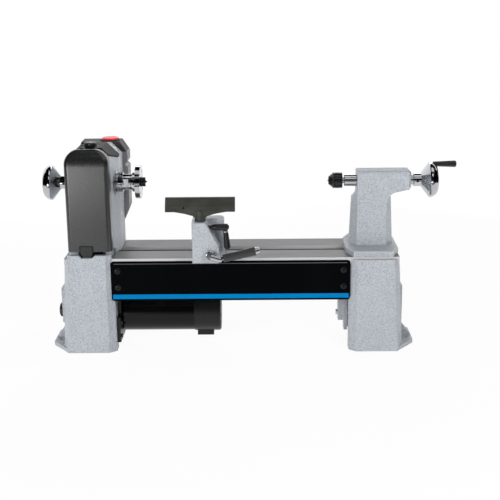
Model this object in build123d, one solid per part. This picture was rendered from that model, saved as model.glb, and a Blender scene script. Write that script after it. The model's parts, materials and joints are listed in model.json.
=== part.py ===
from build123d import *
import math
import os

# A midi wood lathe on its bench, in millimetres.
# X runs along the bed towards the tailstock, Y away from the turner, Z up.
# The origin is the middle of the four bench bolts, on the bench.

# Clearances
running_gap = 0.05
loose_gap = 0.3
slide_gap = 0.2

# Bed and spindle line
bed_top = 220
swing_radius = 158.75
spindle_z = bed_top + swing_radius
bed_half_width = 80
bed_slot_width = 36
bed_length = 750
bed_way_thickness = 15
bed_end = bed_length / 2
way_underside = bed_top - bed_way_thickness
bed_apron_bottom = bed_top - 92
bed_apron_wall = 9
bed_rib_top = bed_apron_bottom + 32
bed_rib_thickness = 9
bed_web_thickness = 14
bed_web_bottom = 24
bed_web_width = 26

# Legs
leg_inner_x = bed_end - 110.7
leg_outer_top_x = bed_end + 2
leg_outer_foot_x = leg_outer_top_x + 11
leg_half_depth = bed_half_width + 10
leg_outer_corner_depth = 28
leg_inner_corner_depth = 12.5
leg_inner_corner = 16.5
leg_outer_corner = 13
leg_edge_radius = 3
leg_rim_top = bed_top - 4
left_leg_rim_top = bed_top + 10
leg_wall = 8
leg_shelf_thickness = 9
leg_arch_half_width = bed_half_width - 30
leg_pad_face_x = leg_outer_foot_x - 1.5
leg_pad_half_width = 54
leg_pad_bottom = 54
leg_pad_top = 146
lug_tip_x = leg_outer_foot_x + 28
lug_tip_half_width = 37
lug_thickness = 9
lug_gusset_top = 50
lug_gusset_thickness = 12
bench_bolt_x = leg_outer_foot_x + 14
bench_bolt_y = 24
bench_hole_diameter = 9

# Front panel
panel_thickness = 3
panel_left_x = -leg_inner_x - 6.7
panel_right_x = leg_inner_x + 0.7
panel_top = bed_top - 6
panel_bottom = bed_apron_bottom - 6
panel_corner_radius = 7
panel_bend = 7
stripe_bottom = panel_bottom + 4.5
stripe_height = 10.5
stripe_thickness = 0.6
stripe_end_gap = 3
panel_screw_inset = 15
panel_screw_heights = (panel_top - 22, panel_top - 60)
panel_screw_head_diameter = 10
panel_screw_head_height = 3.2
panel_screw_shank_diameter = 5

# Headstock casting
head_left_x = 9 - bed_end
head_right_x = head_left_x + 109
head_front_y = -58
head_rear_y = 78
head_top = spindle_z + 79.25
head_bevel = 24
head_wall = 12
head_corner_depth = 66
head_corner_width = 15
head_boss_wall = 8
head_boss_reach = 6
head_flange = 14
head_bolt_diameter = 8
head_screw_hole_diameter = 5
head_screw_hole_y = -30
head_screw_hole_z = spindle_z - 66.75

# Spindle, bearings and pulleys
bearing_outer_diameter = 62
head_boss_diameter = bearing_outer_diameter + 2 * head_boss_wall
bearing_bore = 30
bearing_width = 16
bearing_ring_thickness = 4.5
bearing_seal_thickness = 2
bearing_seal_inset = 0.5
bearing_cap_diameter = 44
bearing_cap_bore = 37
bearing_lip = 4
bearing_cap_stand = 1
spindle_nose_diameter = 38
spindle_collar_diameter = 45
spindle_collar_width = 10
spindle_nose_end_x = head_right_x + 33
spindle_thread_diameter = 25
spindle_thread_length = 11
spindle_bore = 10
spindle_wheel_diameter = 16
spindle_shoulder_diameter = 36
morse_mouth_diameter = 17.8
morse_small_diameter = 15.6
morse_depth = 40
spindle_flat_depth = 2.5
belt_step_diameters = (48, 66, 84)
belt_step_width = 17
belt_width = 13
belt_thickness = 4.5
belt_rib_count = 4
belt_rib_depth = 2
pulley_left_x = head_left_x + 28
motor_axis_z = 70

# Faceplate and drive centre
faceplate_diameter = 76.2
faceplate_thickness = 11
faceplate_face_x = spindle_nose_end_x + 18.3
faceplate_hub_diameter = 46
faceplate_set_screw_diameter = 5
faceplate_screw_circle = 57
faceplate_screw_diameter = 6
faceplate_screw_count = 4
spur_diameter = 21
spur_length = 10
spur_point_length = 4.5
spur_prongs = 4
spur_slot_width = 5
spur_slot_depth = 5

# Handwheels
wheel_rim_diameter = 80
wheel_rim_width = 18
wheel_hub_diameter = 30
wheel_hub_length = 17
wheel_cone_length = 19
wheel_wall = 4
wheel_set_screw_diameter = 6
head_wheel_hub_x = head_left_x - 5
crank_radius = 36
crank_start = 44
crank_length = 52
crank_root_diameter = 11
crank_end_diameter = 15
crank_pin_diameter = 6

# Belt door
door_left_x = head_left_x + 1.5
door_right_x = head_right_x - 9
door_front_y = head_front_y - 28
door_bottom = bed_top + 18
door_top = head_top + 8
door_corner_radius = 32
door_edge_radius = 10
door_roll_height = 40
door_roll_depth = 20
door_wall = 3
door_hinge_y = head_front_y - 5
door_hinge_z = head_top - 1
door_pin_diameter = 4
door_knuckle_diameter = 10
latch_width = 27
latch_top = door_bottom + 12
latch_bottom = door_bottom - 11
latch_thickness = 5

# Controls
housing_front_y = head_front_y + 8
housing_rear_y = head_rear_y - 48
housing_top = head_top + 8
housing_side_wall = 3
speed_knob_diameter = 26
speed_knob_height = 9
speed_knob_x = head_left_x + 54
speed_knob_y = head_front_y + 30
stop_button_diameter = 40
stop_button_height = 3.5
stop_button_travel = 3
stop_bezel_width = 3
stop_bezel_height = 2
stop_button_x = head_left_x + 79
stop_button_y = head_rear_y + 25
control_stem_diameter = 8
switch_x = head_left_x + 33
switch_y = head_front_y + 50
switch_length = 18
switch_width = 10
box_left_x = head_left_x + 14
box_right_x = head_right_x + 12
box_rear_y = head_rear_y + 50
box_bottom = bed_top + 42
box_top = head_top
box_wall = 3
box_top_corner = (17, 26)
box_bottom_corner = (17, 38)
box_groove_z = box_top - 53
box_groove_depth = 7
board_margin = 14
board_lift = 48
board_width = 64
board_height = 88
board_thickness = 2
board_standoff = 10
standoff_diameter = 6
sink_width = 32
sink_depth = 18
sink_height = 42
gland_diameter = 16
gland_length = 18

# Motor
motor_plate_thickness = 8
motor_plate_half_width = leg_arch_half_width - 2
motor_plate_foot_half_width = leg_arch_half_width + 18
motor_plate_foot_top = 76
motor_plate_bottom = 17
motor_plate_top = 120
motor_can_diameter = 90
motor_can_length = 149.3
motor_cap_length = 61
motor_cap_diameter = 93
motor_bell_length = 18
motor_wall = 5
motor_shaft_diameter = 14
motor_shaft_left_x = pulley_left_x - 8
motor_rotor_diameter = 52
motor_rotor_length = 95
motor_magnet_thickness = 9
motor_bolt_circle = 70
motor_foot_length = 38

# Side door in the left leg
side_door_thickness = 4
side_door_edge = 4
side_knob_diameter = 32
side_knob_length = 7
side_knob_stem_diameter = 8
side_knob_z = leg_pad_bottom + 32
side_knob_y = 20 - leg_pad_half_width
side_pin_diameter = 4
side_knuckle_diameter = 8

# Tool rest and its banjo
banjo_x = -50.5
banjo_left_x = banjo_x - 34.5
banjo_right_x = banjo_x + 34.5
banjo_front_y = -bed_half_width - 42
banjo_rear_y = 62
banjo_base_height = 24
banjo_top = spindle_z - 66.75
banjo_front_width = 59
banjo_pillar_top_width = 30
banjo_pillar_shoulder = banjo_top - 56
banjo_pillar_depth = 46
banjo_rear_pillar_y = -40
banjo_edge_radius = 2.5
banjo_top_radius = 7
banjo_slot_width = 14
banjo_slot_front_y = -30
banjo_slot_rear_y = 44
banjo_stud_diameter = 13
clamp_plate_length = 70
clamp_plate_width = 60
clamp_plate_thickness = 12
clamp_plate_corner = 6
clamp_tongue_height = 12
rest_post_x = banjo_x - 16
rest_post_y = banjo_front_y + 18
rest_post_diameter = 18
rest_post_bottom = banjo_top - 58
rest_post_top = banjo_top + 0.5
rest_length = 152.4
rest_top = spindle_z - 15.75
rest_bar_height = 29
rest_bar_thickness = 9
rest_collar_diameter = 24
rest_pin_diameter = 10
rest_lock_z = banjo_top - 14
rest_lock_hub_diameter = 15
rest_lock_hub_left_x = banjo_x + 9.5
rest_lock_hub_right_x = rest_lock_hub_left_x + 36
rest_lock_stud_diameter = 8
rest_lock_neck_length = 9
rest_lock_lever_length = 50
cam_x = banjo_x + 6.5
cam_z = bed_top + 19
cam_shaft_diameter = 12
cam_nut_diameter = 24
cam_nut_width = 12
cam_lever_angle = 13.5
cam_neck_x = 20
cam_neck_drop = 6
cam_neck_diameter = 14
cam_grip_length = 80
cam_grip_diameter = 19
cam_core_diameter = 8
cam_cap_diameter = 17
cam_cap_length = 10
cam_lever_y = banjo_front_y - 12

# Tailstock
tail_x = bed_end - 58
tail_base_length = 118
tail_base_half_width = bed_half_width - 1
tail_base_height = 13
tail_base_corner_x = 15
tail_base_corner_y = 34
tail_body_left_x = tail_x - 33
tail_body_right_x = tail_x + 34
tail_body_half_depth = 25
tail_column_corner = 11
tail_column_rear_y = 30
tail_column_shoulder = 20
tail_column_top = spindle_z - 26.75
tail_column_flare = 5
tail_edge_radius = 2.5
tail_barrel_end_x = tail_x + 88
tail_barrel_half_height = 25
tail_barrel_end_drop = 17
tail_wheel_hub_x = tail_barrel_end_x + 7
tail_fillet = 26
tail_barrel_chamfer = 5
tail_barrel_top_radius = 9
quill_diameter = 27
quill_left_x = tail_x - 62
quill_length = 110
leadscrew_diameter = 14
leadscrew_left_x = tail_x - 7
live_head_diameter = 36
live_head_right_x = quill_left_x - 4
live_head_left_x = live_head_right_x - 22
live_tip_x = live_head_left_x - 11.6
live_nose_diameter = 19
live_point_diameter = 5
live_pin_diameter = 10
live_shank_diameter = 14
live_shank_length = 30
tail_stud_diameter = 10
tail_clamp_z = bed_top + 42
tail_shaft_diameter = 12
tail_lever_hub_diameter = 22
tail_lever_hub_length = 16
tail_lever_diameter = 10
tail_lever_length = 82
tail_lever_ball_diameter = 17
quill_lock_stem_diameter = 8
quill_lock_hub_diameter = 15
quill_lock_hub_length = 26
quill_lock_lever_length = 40


# Shapes used many times
standing = (Align.CENTER, Align.CENTER, Align.MIN)


def block(x0, x1, y0, y1, z0, z1):
    return Pos((x0 + x1) / 2, (y0 + y1) / 2, (z0 + z1) / 2) * Box(x1 - x0, y1 - y0, z1 - z0)


def rod_x(x0, x1, diameter, y=0, z=spindle_z):
    return Pos((x0 + x1) / 2, y, z) * Rot(0, 90, 0) * Cylinder(diameter / 2, x1 - x0)


def rod_y(y0, y1, diameter, x, z):
    return Pos(x, (y0 + y1) / 2, z) * Rot(90, 0, 0) * Cylinder(diameter / 2, y1 - y0)


def rod_z(z0, z1, diameter, x, y):
    return Pos(x, y, (z0 + z1) / 2) * Cylinder(diameter / 2, z1 - z0)


def prism_x(points, x0, x1):
    face = make_face(Polyline([(x0, y, z) for y, z in points], close=True))
    return extrude(face, amount=x1 - x0, dir=(1, 0, 0))


def prism_y(points, y0, y1):
    face = make_face(Polyline([(x, y0, z) for x, z in points], close=True))
    return extrude(face, amount=y1 - y0, dir=(0, 1, 0))


def prism_z(points, z0, z1):
    face = make_face(Polyline([(x, y, z0) for x, y in points], close=True))
    return extrude(face, amount=z1 - z0, dir=(0, 0, 1))


def turned_x(profile, y=0, z=spindle_z):
    """Turn an outline of (x, radius) points about a line along X."""
    face = make_face(Polyline([(x, r) for x, r in profile], close=True))
    return Pos(0, y, z) * revolve(face, Axis.X)


def ring_x(x0, x1, bore, diameter, y=0, z=spindle_z):
    return turned_x([(x0, bore / 2), (x0, diameter / 2), (x1, diameter / 2), (x1, bore / 2)], y, z)


def hex_bolt(diameter, length):
    """A hexagon bolt that points up, with the underside of its head at the origin."""
    head_height = 0.65 * diameter
    head = extrude(RegularPolygon(0.85 * diameter, 6), amount=head_height)
    return Pos(0, 0, -head_height) * head + Cylinder(diameter / 2, length, align=standing)


def hex_bolt_x(head_x, tip_x, diameter, y, z):
    turn = 90 if tip_x > head_x else -90
    return Pos(head_x, y, z) * Rot(0, turn, 0) * hex_bolt(diameter, abs(tip_x - head_x))


def hex_bolt_z(head_z, tip_z, diameter, x, y):
    return Pos(x, y, head_z) * hex_bolt(diameter, tip_z - head_z)


def cap_screw_y(head_y, tip_y, diameter, x, z, head_diameter, head_height):
    """A round-headed screw along Y, with its head in front of head_y."""
    return rod_y(head_y - head_height, head_y, head_diameter, x, z) + rod_y(head_y, tip_y, diameter, x, z)


nodes = {}

# Places shared by the belt drive
belt_step = (belt_step_diameters[0] + belt_step_diameters[-1]) / 2
belt_window_left_x = pulley_left_x - 8
belt_window_right_x = pulley_left_x + len(belt_step_diameters) * belt_step_width + 8
belt_window_half_width = belt_step_diameters[-1] / 2 + 8


# Legs: tapered cast shells, open below, that hold the bed's ends
def leg_outer_x(z):
    return leg_outer_foot_x + (leg_outer_top_x - leg_outer_foot_x) * z / leg_rim_top


def leg_section(z, inset=0):
    outer = leg_outer_x(z) - inset
    inner = leg_inner_x + inset
    edge = leg_half_depth - inset
    rear = [
        (outer, edge - leg_outer_corner_depth),
        (outer - leg_outer_corner, edge),
        (inner + leg_inner_corner, edge),
        (inner, edge - leg_inner_corner_depth),
    ]
    front = [(x, -y) for x, y in reversed(rear)]
    return make_face(Polyline([(x, y, z) for x, y in rear + front], close=True))


leg_shelf_underside = way_underside - leg_shelf_thickness
head_bolt_places = [(x, y) for x in (head_left_x + 10, head_right_x - 11) for y in (-40, 40)]


def make_leg(front_rim):
    leg = loft([leg_section(0), leg_section(front_rim)], ruled=True)
    leg = fillet(leg.edges().filter_by(lambda e: e.bounding_box().size.Z > front_rim / 2), leg_edge_radius)
    pad = [
        (leg_inner_x + 60, leg_pad_bottom),
        (leg_pad_face_x, leg_pad_bottom),
        (leg_pad_face_x, leg_pad_top - 2),
        (leg_pad_face_x - 2, leg_pad_top),
        (leg_inner_x + 60, leg_pad_top),
    ]
    leg += prism_y(pad, -leg_pad_half_width, leg_pad_half_width)
    flange = leg_half_depth - 2
    root_x = leg_outer_foot_x - leg_outer_corner
    lug = [
        (root_x, -flange),
        (lug_tip_x, -lug_tip_half_width),
        (lug_tip_x, lug_tip_half_width),
        (root_x, flange),
    ]
    leg += prism_z(lug, 0, lug_thickness)
    gusset = [(root_x, 0), (lug_tip_x, 0), (lug_tip_x, lug_thickness), (leg_outer_foot_x - 4, lug_gusset_top)]
    leg += prism_y(gusset, -lug_gusset_thickness / 2, lug_gusset_thickness / 2)
    leg -= loft([leg_section(-1, leg_wall), leg_section(leg_shelf_underside, leg_wall)], ruled=True)
    # The bed's seat, the opening under its slot and the arch towards the middle
    seat_width = bed_half_width + slide_gap
    leg -= block(leg_inner_x - 1, lug_tip_x, -seat_width, seat_width, way_underside, front_rim + 1)
    leg -= block(leg_inner_x - 1, lug_tip_x, 0, leg_half_depth + 1, leg_rim_top, front_rim + 1)
    arch = leg_arch_half_width
    leg -= block(leg_inner_x - 1, leg_inner_x + leg_wall + 1, -arch, arch, -1, way_underside + 1)
    outer_end = leg_outer_x(way_underside) - leg_wall
    leg -= block(leg_inner_x - 1, outer_end, -arch, arch, leg_shelf_underside - 1, way_underside + 1)
    for y in (-bench_bolt_y, bench_bolt_y):
        leg -= rod_z(-1, lug_thickness + 1, bench_hole_diameter, bench_bolt_x, y)
    return leg


# Bolts through the bed's end webs into the legs' inner walls
leg_bolt_diameter = 8
leg_bolt_y = leg_arch_half_width + 10
web_inner_x = leg_inner_x - bed_web_thickness
leg_bolt_length = bed_web_thickness + 2 * leg_wall


def web_bottom(side, across):
    """The front webs stop with the apron, and the left rear one stops over the motor's plate."""
    if across < 0:
        return bed_apron_bottom
    return bed_web_bottom if side > 0 else motor_plate_foot_top + 4


def leg_bolt_places(side):
    return [
        (across * leg_bolt_y, z)
        for across in (-1, 1)
        for z in (web_bottom(side, across) + 18, way_underside - 26)
    ]


def leg_bolt_holes(side):
    x0, x1 = sorted((side * (web_inner_x - 1), side * (web_inner_x + leg_bolt_length + 1)))
    return Part() + [rod_x(x0, x1, leg_bolt_diameter + loose_gap, y, z) for y, z in leg_bolt_places(side)]


def leg_bolt(side, y, z):
    return hex_bolt_x(side * web_inner_x, side * (web_inner_x + leg_bolt_length), leg_bolt_diameter, y, z)


# The panel's ends lie in the legs' bevelled corners
panel_front_y = -bed_half_width - panel_thickness
panel_room = block(panel_left_x - loose_gap, panel_right_x + loose_gap, panel_front_y - 1, -bed_half_width,
                   panel_bottom - loose_gap, panel_top + loose_gap)
right_leg = make_leg(leg_rim_top) - leg_bolt_holes(1) - panel_room
left_leg = mirror(make_leg(left_leg_rim_top), about=Plane.YZ) - leg_bolt_holes(-1) - panel_room

# The left leg's rim has a notch for the door's latch, and its side has the belt opening
latch_x = (door_left_x + door_right_x) / 2 - 7
notch = [
    (latch_x - latch_width / 2 - 5, left_leg_rim_top + 1),
    (latch_x - latch_width / 2 + 1, latch_bottom - 3),
    (latch_x + latch_width / 2 - 1, latch_bottom - 3),
    (latch_x + latch_width / 2 + 5, left_leg_rim_top + 1),
]
left_leg -= prism_y(notch, -leg_half_depth - 1, -bed_half_width)
side_opening_half_width = leg_pad_half_width - 12
side_opening_bottom = leg_pad_bottom + 10
side_opening_top = leg_pad_top - 10
left_leg -= block(-leg_pad_face_x - 1, -leg_inner_x - 60, -side_opening_half_width, side_opening_half_width,
                  side_opening_bottom, side_opening_top)
nodes["left_leg"] = left_leg
nodes["right_leg"] = right_leg
nodes["frame_bolts"] = [leg_bolt(side, y, z) for side in (-1, 1) for y, z in leg_bolt_places(side)]


# Bed: two ground ways over deep aprons, open between for the clamps
def make_bed():
    bed = block(-bed_end, bed_end, -bed_half_width, bed_half_width, way_underside, bed_top)
    apron_inner = bed_half_width - bed_apron_wall
    for side in (-1, 1):
        y0, y1 = sorted((side * apron_inner, side * bed_half_width))
        bed += block(-leg_inner_x, leg_inner_x, y0, y1, bed_apron_bottom, way_underside)
    for x in (-leg_inner_x * 0.65, 0, leg_inner_x * 0.65):
        bed += block(x - bed_rib_thickness / 2, x + bed_rib_thickness / 2, -apron_inner, apron_inner,
                     bed_apron_bottom, bed_rib_top)
    web_y0 = leg_arch_half_width + 2
    web_y1 = web_y0 + bed_web_width
    for side in (-1, 1):
        x0, x1 = sorted((side * web_inner_x, side * leg_inner_x))
        for across in (-1, 1):
            bottom = web_bottom(side, across)
            web = [
                (web_y0, way_underside),
                (web_y0, bottom),
                (web_y1 - 8, bottom),
                (web_y1, bottom + 12),
                (web_y1, way_underside),
            ]
            bed += prism_x([(across * y, z) for y, z in web], x0, x1)
    bed -= block(belt_window_left_x, belt_window_right_x, -belt_window_half_width, belt_window_half_width,
                 way_underside - 1, bed_top + 1)
    bed -= block(belt_window_right_x - 1, bed_end + 1, -bed_slot_width / 2, bed_slot_width / 2,
                 way_underside - 1, bed_top + 1)
    bed -= leg_bolt_holes(1)
    bed -= leg_bolt_holes(-1)
    for x, y in head_bolt_places:
        bed -= rod_z(way_underside - 1, bed_top + 1, head_bolt_diameter + loose_gap, x, y)
    for x in panel_screw_places:
        for z in panel_screw_heights:
            bed -= rod_y(-bed_half_width - 1, -apron_inner + 1, panel_screw_shank_diameter + loose_gap, x, z)
    return bed


panel_screw_places = (panel_left_x + panel_screw_inset, panel_right_x - panel_screw_inset)
nodes["bed"] = make_bed()


# Front panel: a bent sheet screwed to the front apron, with its stripe
def make_panel():
    width = panel_right_x - panel_left_x
    height = panel_top - panel_bottom
    sheet = extrude(RectangleRounded(width, height, panel_corner_radius), amount=panel_thickness)
    centre = ((panel_left_x + panel_right_x) / 2, panel_front_y, (panel_top + panel_bottom) / 2)
    panel = Pos(*centre) * Rot(-90, 0, 0) * sheet
    bend = [
        (panel_front_y, panel_top - panel_bend),
        (panel_front_y, panel_top + 1),
        (panel_front_y + panel_thickness * 0.6, panel_top + 1),
    ]
    panel -= prism_x(bend, panel_left_x - 1, panel_right_x + 1)
    hole = panel_screw_shank_diameter + loose_gap
    for x in panel_screw_places:
        for z in panel_screw_heights:
            panel -= rod_y(panel_front_y - 1, -bed_half_width + 1, hole, x, z)
    return panel


nodes["front_panel"] = make_panel()
nodes["panel_stripe"] = block(panel_left_x + stripe_end_gap, panel_right_x - stripe_end_gap,
                              panel_front_y - stripe_thickness, panel_front_y,
                              stripe_bottom, stripe_bottom + stripe_height)
nodes["panel_screws"] = [
    cap_screw_y(panel_front_y, -bed_half_width + bed_apron_wall, panel_screw_shank_diameter, x, z,
                panel_screw_head_diameter, panel_screw_head_height)
    for x in panel_screw_places
    for z in panel_screw_heights
]


# Headstock: a cast box, open in front and below, with a bearing seat in each side wall
right_bearing_x = head_right_x - bearing_lip - bearing_width
head_plan = [
    (head_left_x, head_front_y),
    (head_right_x - head_corner_width, head_front_y),
    (head_right_x, head_front_y + head_corner_depth),
    (head_right_x, head_rear_y),
    (head_left_x, head_rear_y),
]
head_outline = [
    (head_left_x, bed_top),
    (head_right_x, bed_top),
    (head_right_x, head_top - head_bevel),
    (head_right_x - head_bevel, head_top),
    (head_left_x + head_bevel, head_top),
    (head_left_x, head_top - head_bevel),
]


def make_headstock():
    head = prism_z(head_plan, bed_top, head_top) & prism_y(head_outline, head_front_y, head_rear_y)
    inner_left = head_left_x + head_wall
    inner_right = head_right_x - head_wall
    inner_top = head_top - head_wall
    inner_bevel = head_bevel - head_wall * (2 - math.sqrt(2))
    cavity = [
        (inner_left, bed_top - 1),
        (inner_right, bed_top - 1),
        (inner_right, inner_top - inner_bevel),
        (inner_right - inner_bevel, inner_top),
        (inner_left + inner_bevel, inner_top),
        (inner_left, inner_top - inner_bevel),
    ]
    corner_cut = prism_z([(head_right_x - head_corner_width - head_wall, head_front_y - 1),
                          (head_right_x, head_front_y - 1),
                          (head_right_x, head_front_y + head_corner_depth)], bed_top - 1, head_top)
    head -= prism_y(cavity, head_front_y - 1, head_rear_y - head_wall) - corner_cut
    foot_top = bed_top + head_flange
    foot_front = head_front_y + head_wall
    head += block(head_left_x, belt_window_left_x, head_front_y, head_rear_y, bed_top, foot_top)
    head += block(belt_window_right_x, inner_right + 1, foot_front, head_rear_y, bed_top, foot_top)
    head += rod_x(head_left_x, head_left_x + bearing_width + head_boss_reach, head_boss_diameter)
    boss = rod_x(right_bearing_x - head_boss_reach, head_right_x, head_boss_diameter)
    head += boss & prism_z(head_plan, bed_top, head_top)
    # Bearing seats: the left one is bored from outside, the right one from inside
    inner_end = right_bearing_x - head_boss_reach
    head -= rod_x(head_left_x - 1, head_left_x + bearing_width, bearing_outer_diameter)
    head -= rod_x(inner_end - 1, right_bearing_x + bearing_width, bearing_outer_diameter)
    head -= rod_x(head_left_x, right_bearing_x, bearing_outer_diameter - 2 * bearing_ring_thickness)
    head -= rod_x(right_bearing_x, head_right_x + 1, bearing_cap_diameter)
    # Room for the door's top edge as it swings, and the lugs that carry its hinge pin
    swing_room_z = door_hinge_z - 13
    head -= block(head_left_x - 1, head_right_x + 1, head_front_y - 1, housing_front_y,
                  swing_room_z, head_top + 1)
    for x in door_lug_places:
        lug_bottom = door_hinge_z - door_knuckle_diameter / 2
        lug = block(x, x + door_lug_width, door_hinge_y, housing_front_y + 6, lug_bottom, head_top - 2)
        head += lug + rod_x(x, x + door_lug_width, door_knuckle_diameter, door_hinge_y, door_hinge_z)
    head -= rod_x(head_left_x, head_right_x, door_pin_diameter, door_hinge_y, door_hinge_z)
    for x, y in head_bolt_places:
        head -= rod_z(bed_top - 1, foot_top + 1, head_bolt_diameter + loose_gap, x, y)
    # The set screw hole low on the right side
    return head - rod_x(head_right_x - head_wall, head_right_x + 1, head_screw_hole_diameter,
                        head_screw_hole_y, head_screw_hole_z)


door_lug_width = 7
door_lug_inset = door_corner_radius + 3
door_lug_places = (door_left_x + door_lug_inset, door_right_x - door_lug_inset - door_lug_width)
nodes["headstock"] = make_headstock()
nodes["frame_bolts"] += [
    hex_bolt_z(way_underside, bed_top + head_flange, head_bolt_diameter, x, y) for x, y in head_bolt_places
]
nodes["bearing_cap"] = ring_x(head_right_x - bearing_lip, head_right_x + bearing_cap_stand,
                              bearing_cap_bore, bearing_cap_diameter)


# Sealed ball bearings: outer rings in the casting, inner rings on the spindle, seals that close both faces
bearing_places = (head_left_x, right_bearing_x)
outer_ring_bore = bearing_outer_diameter - 2 * bearing_ring_thickness
inner_ring_diameter = bearing_bore + 2 * bearing_ring_thickness


def bearing_rings(bore, diameter):
    return [ring_x(x, x + bearing_width, bore, diameter) for x in bearing_places]


nodes["bearing_outer_rings"] = bearing_rings(outer_ring_bore, bearing_outer_diameter)
nodes["bearing_inner_rings"] = bearing_rings(bearing_bore, inner_ring_diameter)
seal_starts = (bearing_seal_inset, bearing_width - bearing_seal_inset - bearing_seal_thickness)
nodes["bearing_seals"] = [
    ring_x(x + u, x + u + bearing_seal_thickness, inner_ring_diameter + 2 * running_gap, outer_ring_bore)
    for x in bearing_places
    for u in seal_starts
]


# Spindle: turned in one piece, with a flanged nose, a thread and a tapered socket
def make_spindle():
    collar_left = head_right_x + bearing_cap_stand + loose_gap
    collar_right = collar_left + spindle_collar_width
    wheel_end = head_wheel_hub_x - wheel_hub_length - 4
    thread_end = spindle_nose_end_x + spindle_thread_length
    profile = [
        (wheel_end, 0),
        (wheel_end, spindle_wheel_diameter / 2),
        (head_wheel_hub_x, spindle_wheel_diameter / 2),
        (head_wheel_hub_x, bearing_bore / 2),
        (right_bearing_x + bearing_width, bearing_bore / 2),
        (right_bearing_x + bearing_width, spindle_shoulder_diameter / 2),
        (collar_left, spindle_shoulder_diameter / 2),
        (collar_left, spindle_collar_diameter / 2),
        (collar_right, spindle_collar_diameter / 2),
        (collar_right, spindle_nose_diameter / 2),
        (spindle_nose_end_x, spindle_nose_diameter / 2),
        (spindle_nose_end_x, spindle_thread_diameter / 2),
        (thread_end, spindle_thread_diameter / 2),
        (thread_end, 0),
    ]
    spindle = turned_x(profile)
    spindle -= rod_x(wheel_end - 1, thread_end, spindle_bore)
    socket = [
        (thread_end - morse_depth, 0),
        (thread_end - morse_depth, morse_small_diameter / 2),
        (thread_end, morse_mouth_diameter / 2),
        (thread_end + 1, morse_mouth_diameter / 2),
        (thread_end + 1, 0),
    ]
    spindle -= turned_x(socket)
    flat_y = spindle_nose_diameter / 2 - spindle_flat_depth
    for side in (-1, 1):
        y0, y1 = sorted((side * flat_y, side * spindle_nose_diameter))
        spindle -= block(collar_right + 2, collar_right + 13, y0, y1, spindle_z - 30, spindle_z + 30)
    return spindle


nodes["spindle"] = make_spindle()


# Ribbed belt on stepped pulleys: the two middle steps are equal, so it turns both alike
def ribs(x0, radius):
    pitch = belt_width / belt_rib_count
    points = [(x0, radius)]
    for i in range(belt_rib_count):
        points.append((x0 + (i + 0.5) * pitch, radius - belt_rib_depth))
        points.append((x0 + (i + 1) * pitch, radius))
    return points


def make_pulley(diameters, bore, z):
    land = (belt_step_width - belt_width) / 2
    x1 = pulley_left_x + len(diameters) * belt_step_width
    profile = [(pulley_left_x, bore / 2)]
    for i, diameter in enumerate(diameters):
        x0 = pulley_left_x + i * belt_step_width
        profile.append((x0, diameter / 2))
        profile += ribs(x0 + land, diameter / 2)
        profile.append((x0 + belt_step_width, diameter / 2))
    profile.append((x1, bore / 2))
    return turned_x(profile, 0, z)


def make_belt():
    radius = belt_step / 2 + 2 * slide_gap
    x0 = pulley_left_x + (len(belt_step_diameters) * belt_step_width - belt_width) / 2
    outer = radius - belt_rib_depth + belt_thickness
    section = make_face(Polyline(ribs(x0, radius) + [(x0 + belt_width, outer), (x0, outer)], close=True))
    half = revolve(section, Axis.X, revolution_arc=180)
    run = Pos(0, 0, motor_axis_z) * extrude(section, amount=spindle_z - motor_axis_z, dir=(0, 0, 1))
    belt = Pos(0, 0, spindle_z) * half + Pos(0, 0, motor_axis_z) * Rot(180, 0, 0) * half
    return belt + run + mirror(run, about=Plane.XZ)


nodes["spindle_pulley"] = make_pulley(belt_step_diameters, bearing_bore, spindle_z)
nodes["motor_pulley"] = make_pulley(belt_step_diameters[::-1], motor_shaft_diameter, motor_axis_z)
nodes["drive_belt"] = make_belt()


# Faceplate and four-prong drive centre
def make_faceplate():
    back = faceplate_face_x - faceplate_thickness
    hub_end = spindle_nose_end_x
    rim = faceplate_diameter / 2
    plate = turned_x([
        (hub_end, spindle_thread_diameter / 2),
        (hub_end, faceplate_hub_diameter / 2),
        (back, faceplate_hub_diameter / 2),
        (back, rim),
        (faceplate_face_x, rim),
        (faceplate_face_x, spindle_thread_diameter / 2),
    ])
    for i in range(faceplate_screw_count):
        a = math.radians(360 * i / faceplate_screw_count + 45)
        y = faceplate_screw_circle / 2 * math.cos(a)
        z = spindle_z + faceplate_screw_circle / 2 * math.sin(a)
        plate -= rod_x(back - 1, faceplate_face_x + 1, faceplate_screw_diameter, y, z)
    set_screw_x = (hub_end + back) / 2
    return plate - rod_y(-faceplate_hub_diameter, 0, faceplate_set_screw_diameter, set_screw_x, spindle_z)


def make_spur():
    thread_end = spindle_nose_end_x + spindle_thread_length
    body_end = faceplate_face_x + spur_length
    shank_end = thread_end - morse_depth + 2
    spur = turned_x([
        (shank_end, 0),
        (shank_end, morse_small_diameter / 2 - running_gap),
        (thread_end, morse_mouth_diameter / 2 - 2 * running_gap),
        (faceplate_face_x + 1, morse_mouth_diameter / 2 - 2 * running_gap),
        (faceplate_face_x + 1, spur_diameter / 2),
        (body_end, spur_diameter / 2),
        (body_end, 0),
    ])
    reach = spur_diameter
    cut_x0 = body_end - spur_slot_depth
    for angle in range(spur_prongs):
        notch = block(cut_x0, body_end + 1, spur_slot_width / 2, reach, spur_slot_width / 2, reach)
        spur -= Pos(0, 0, spindle_z) * Rot(angle * 360 / spur_prongs, 0, 0) * notch
    point = turned_x([(cut_x0, 0), (cut_x0, 3), (body_end, 3), (body_end + spur_point_length, 0)])
    return spur + point


nodes["faceplate"] = make_faceplate()
nodes["spur_centre"] = make_spur()


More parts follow.
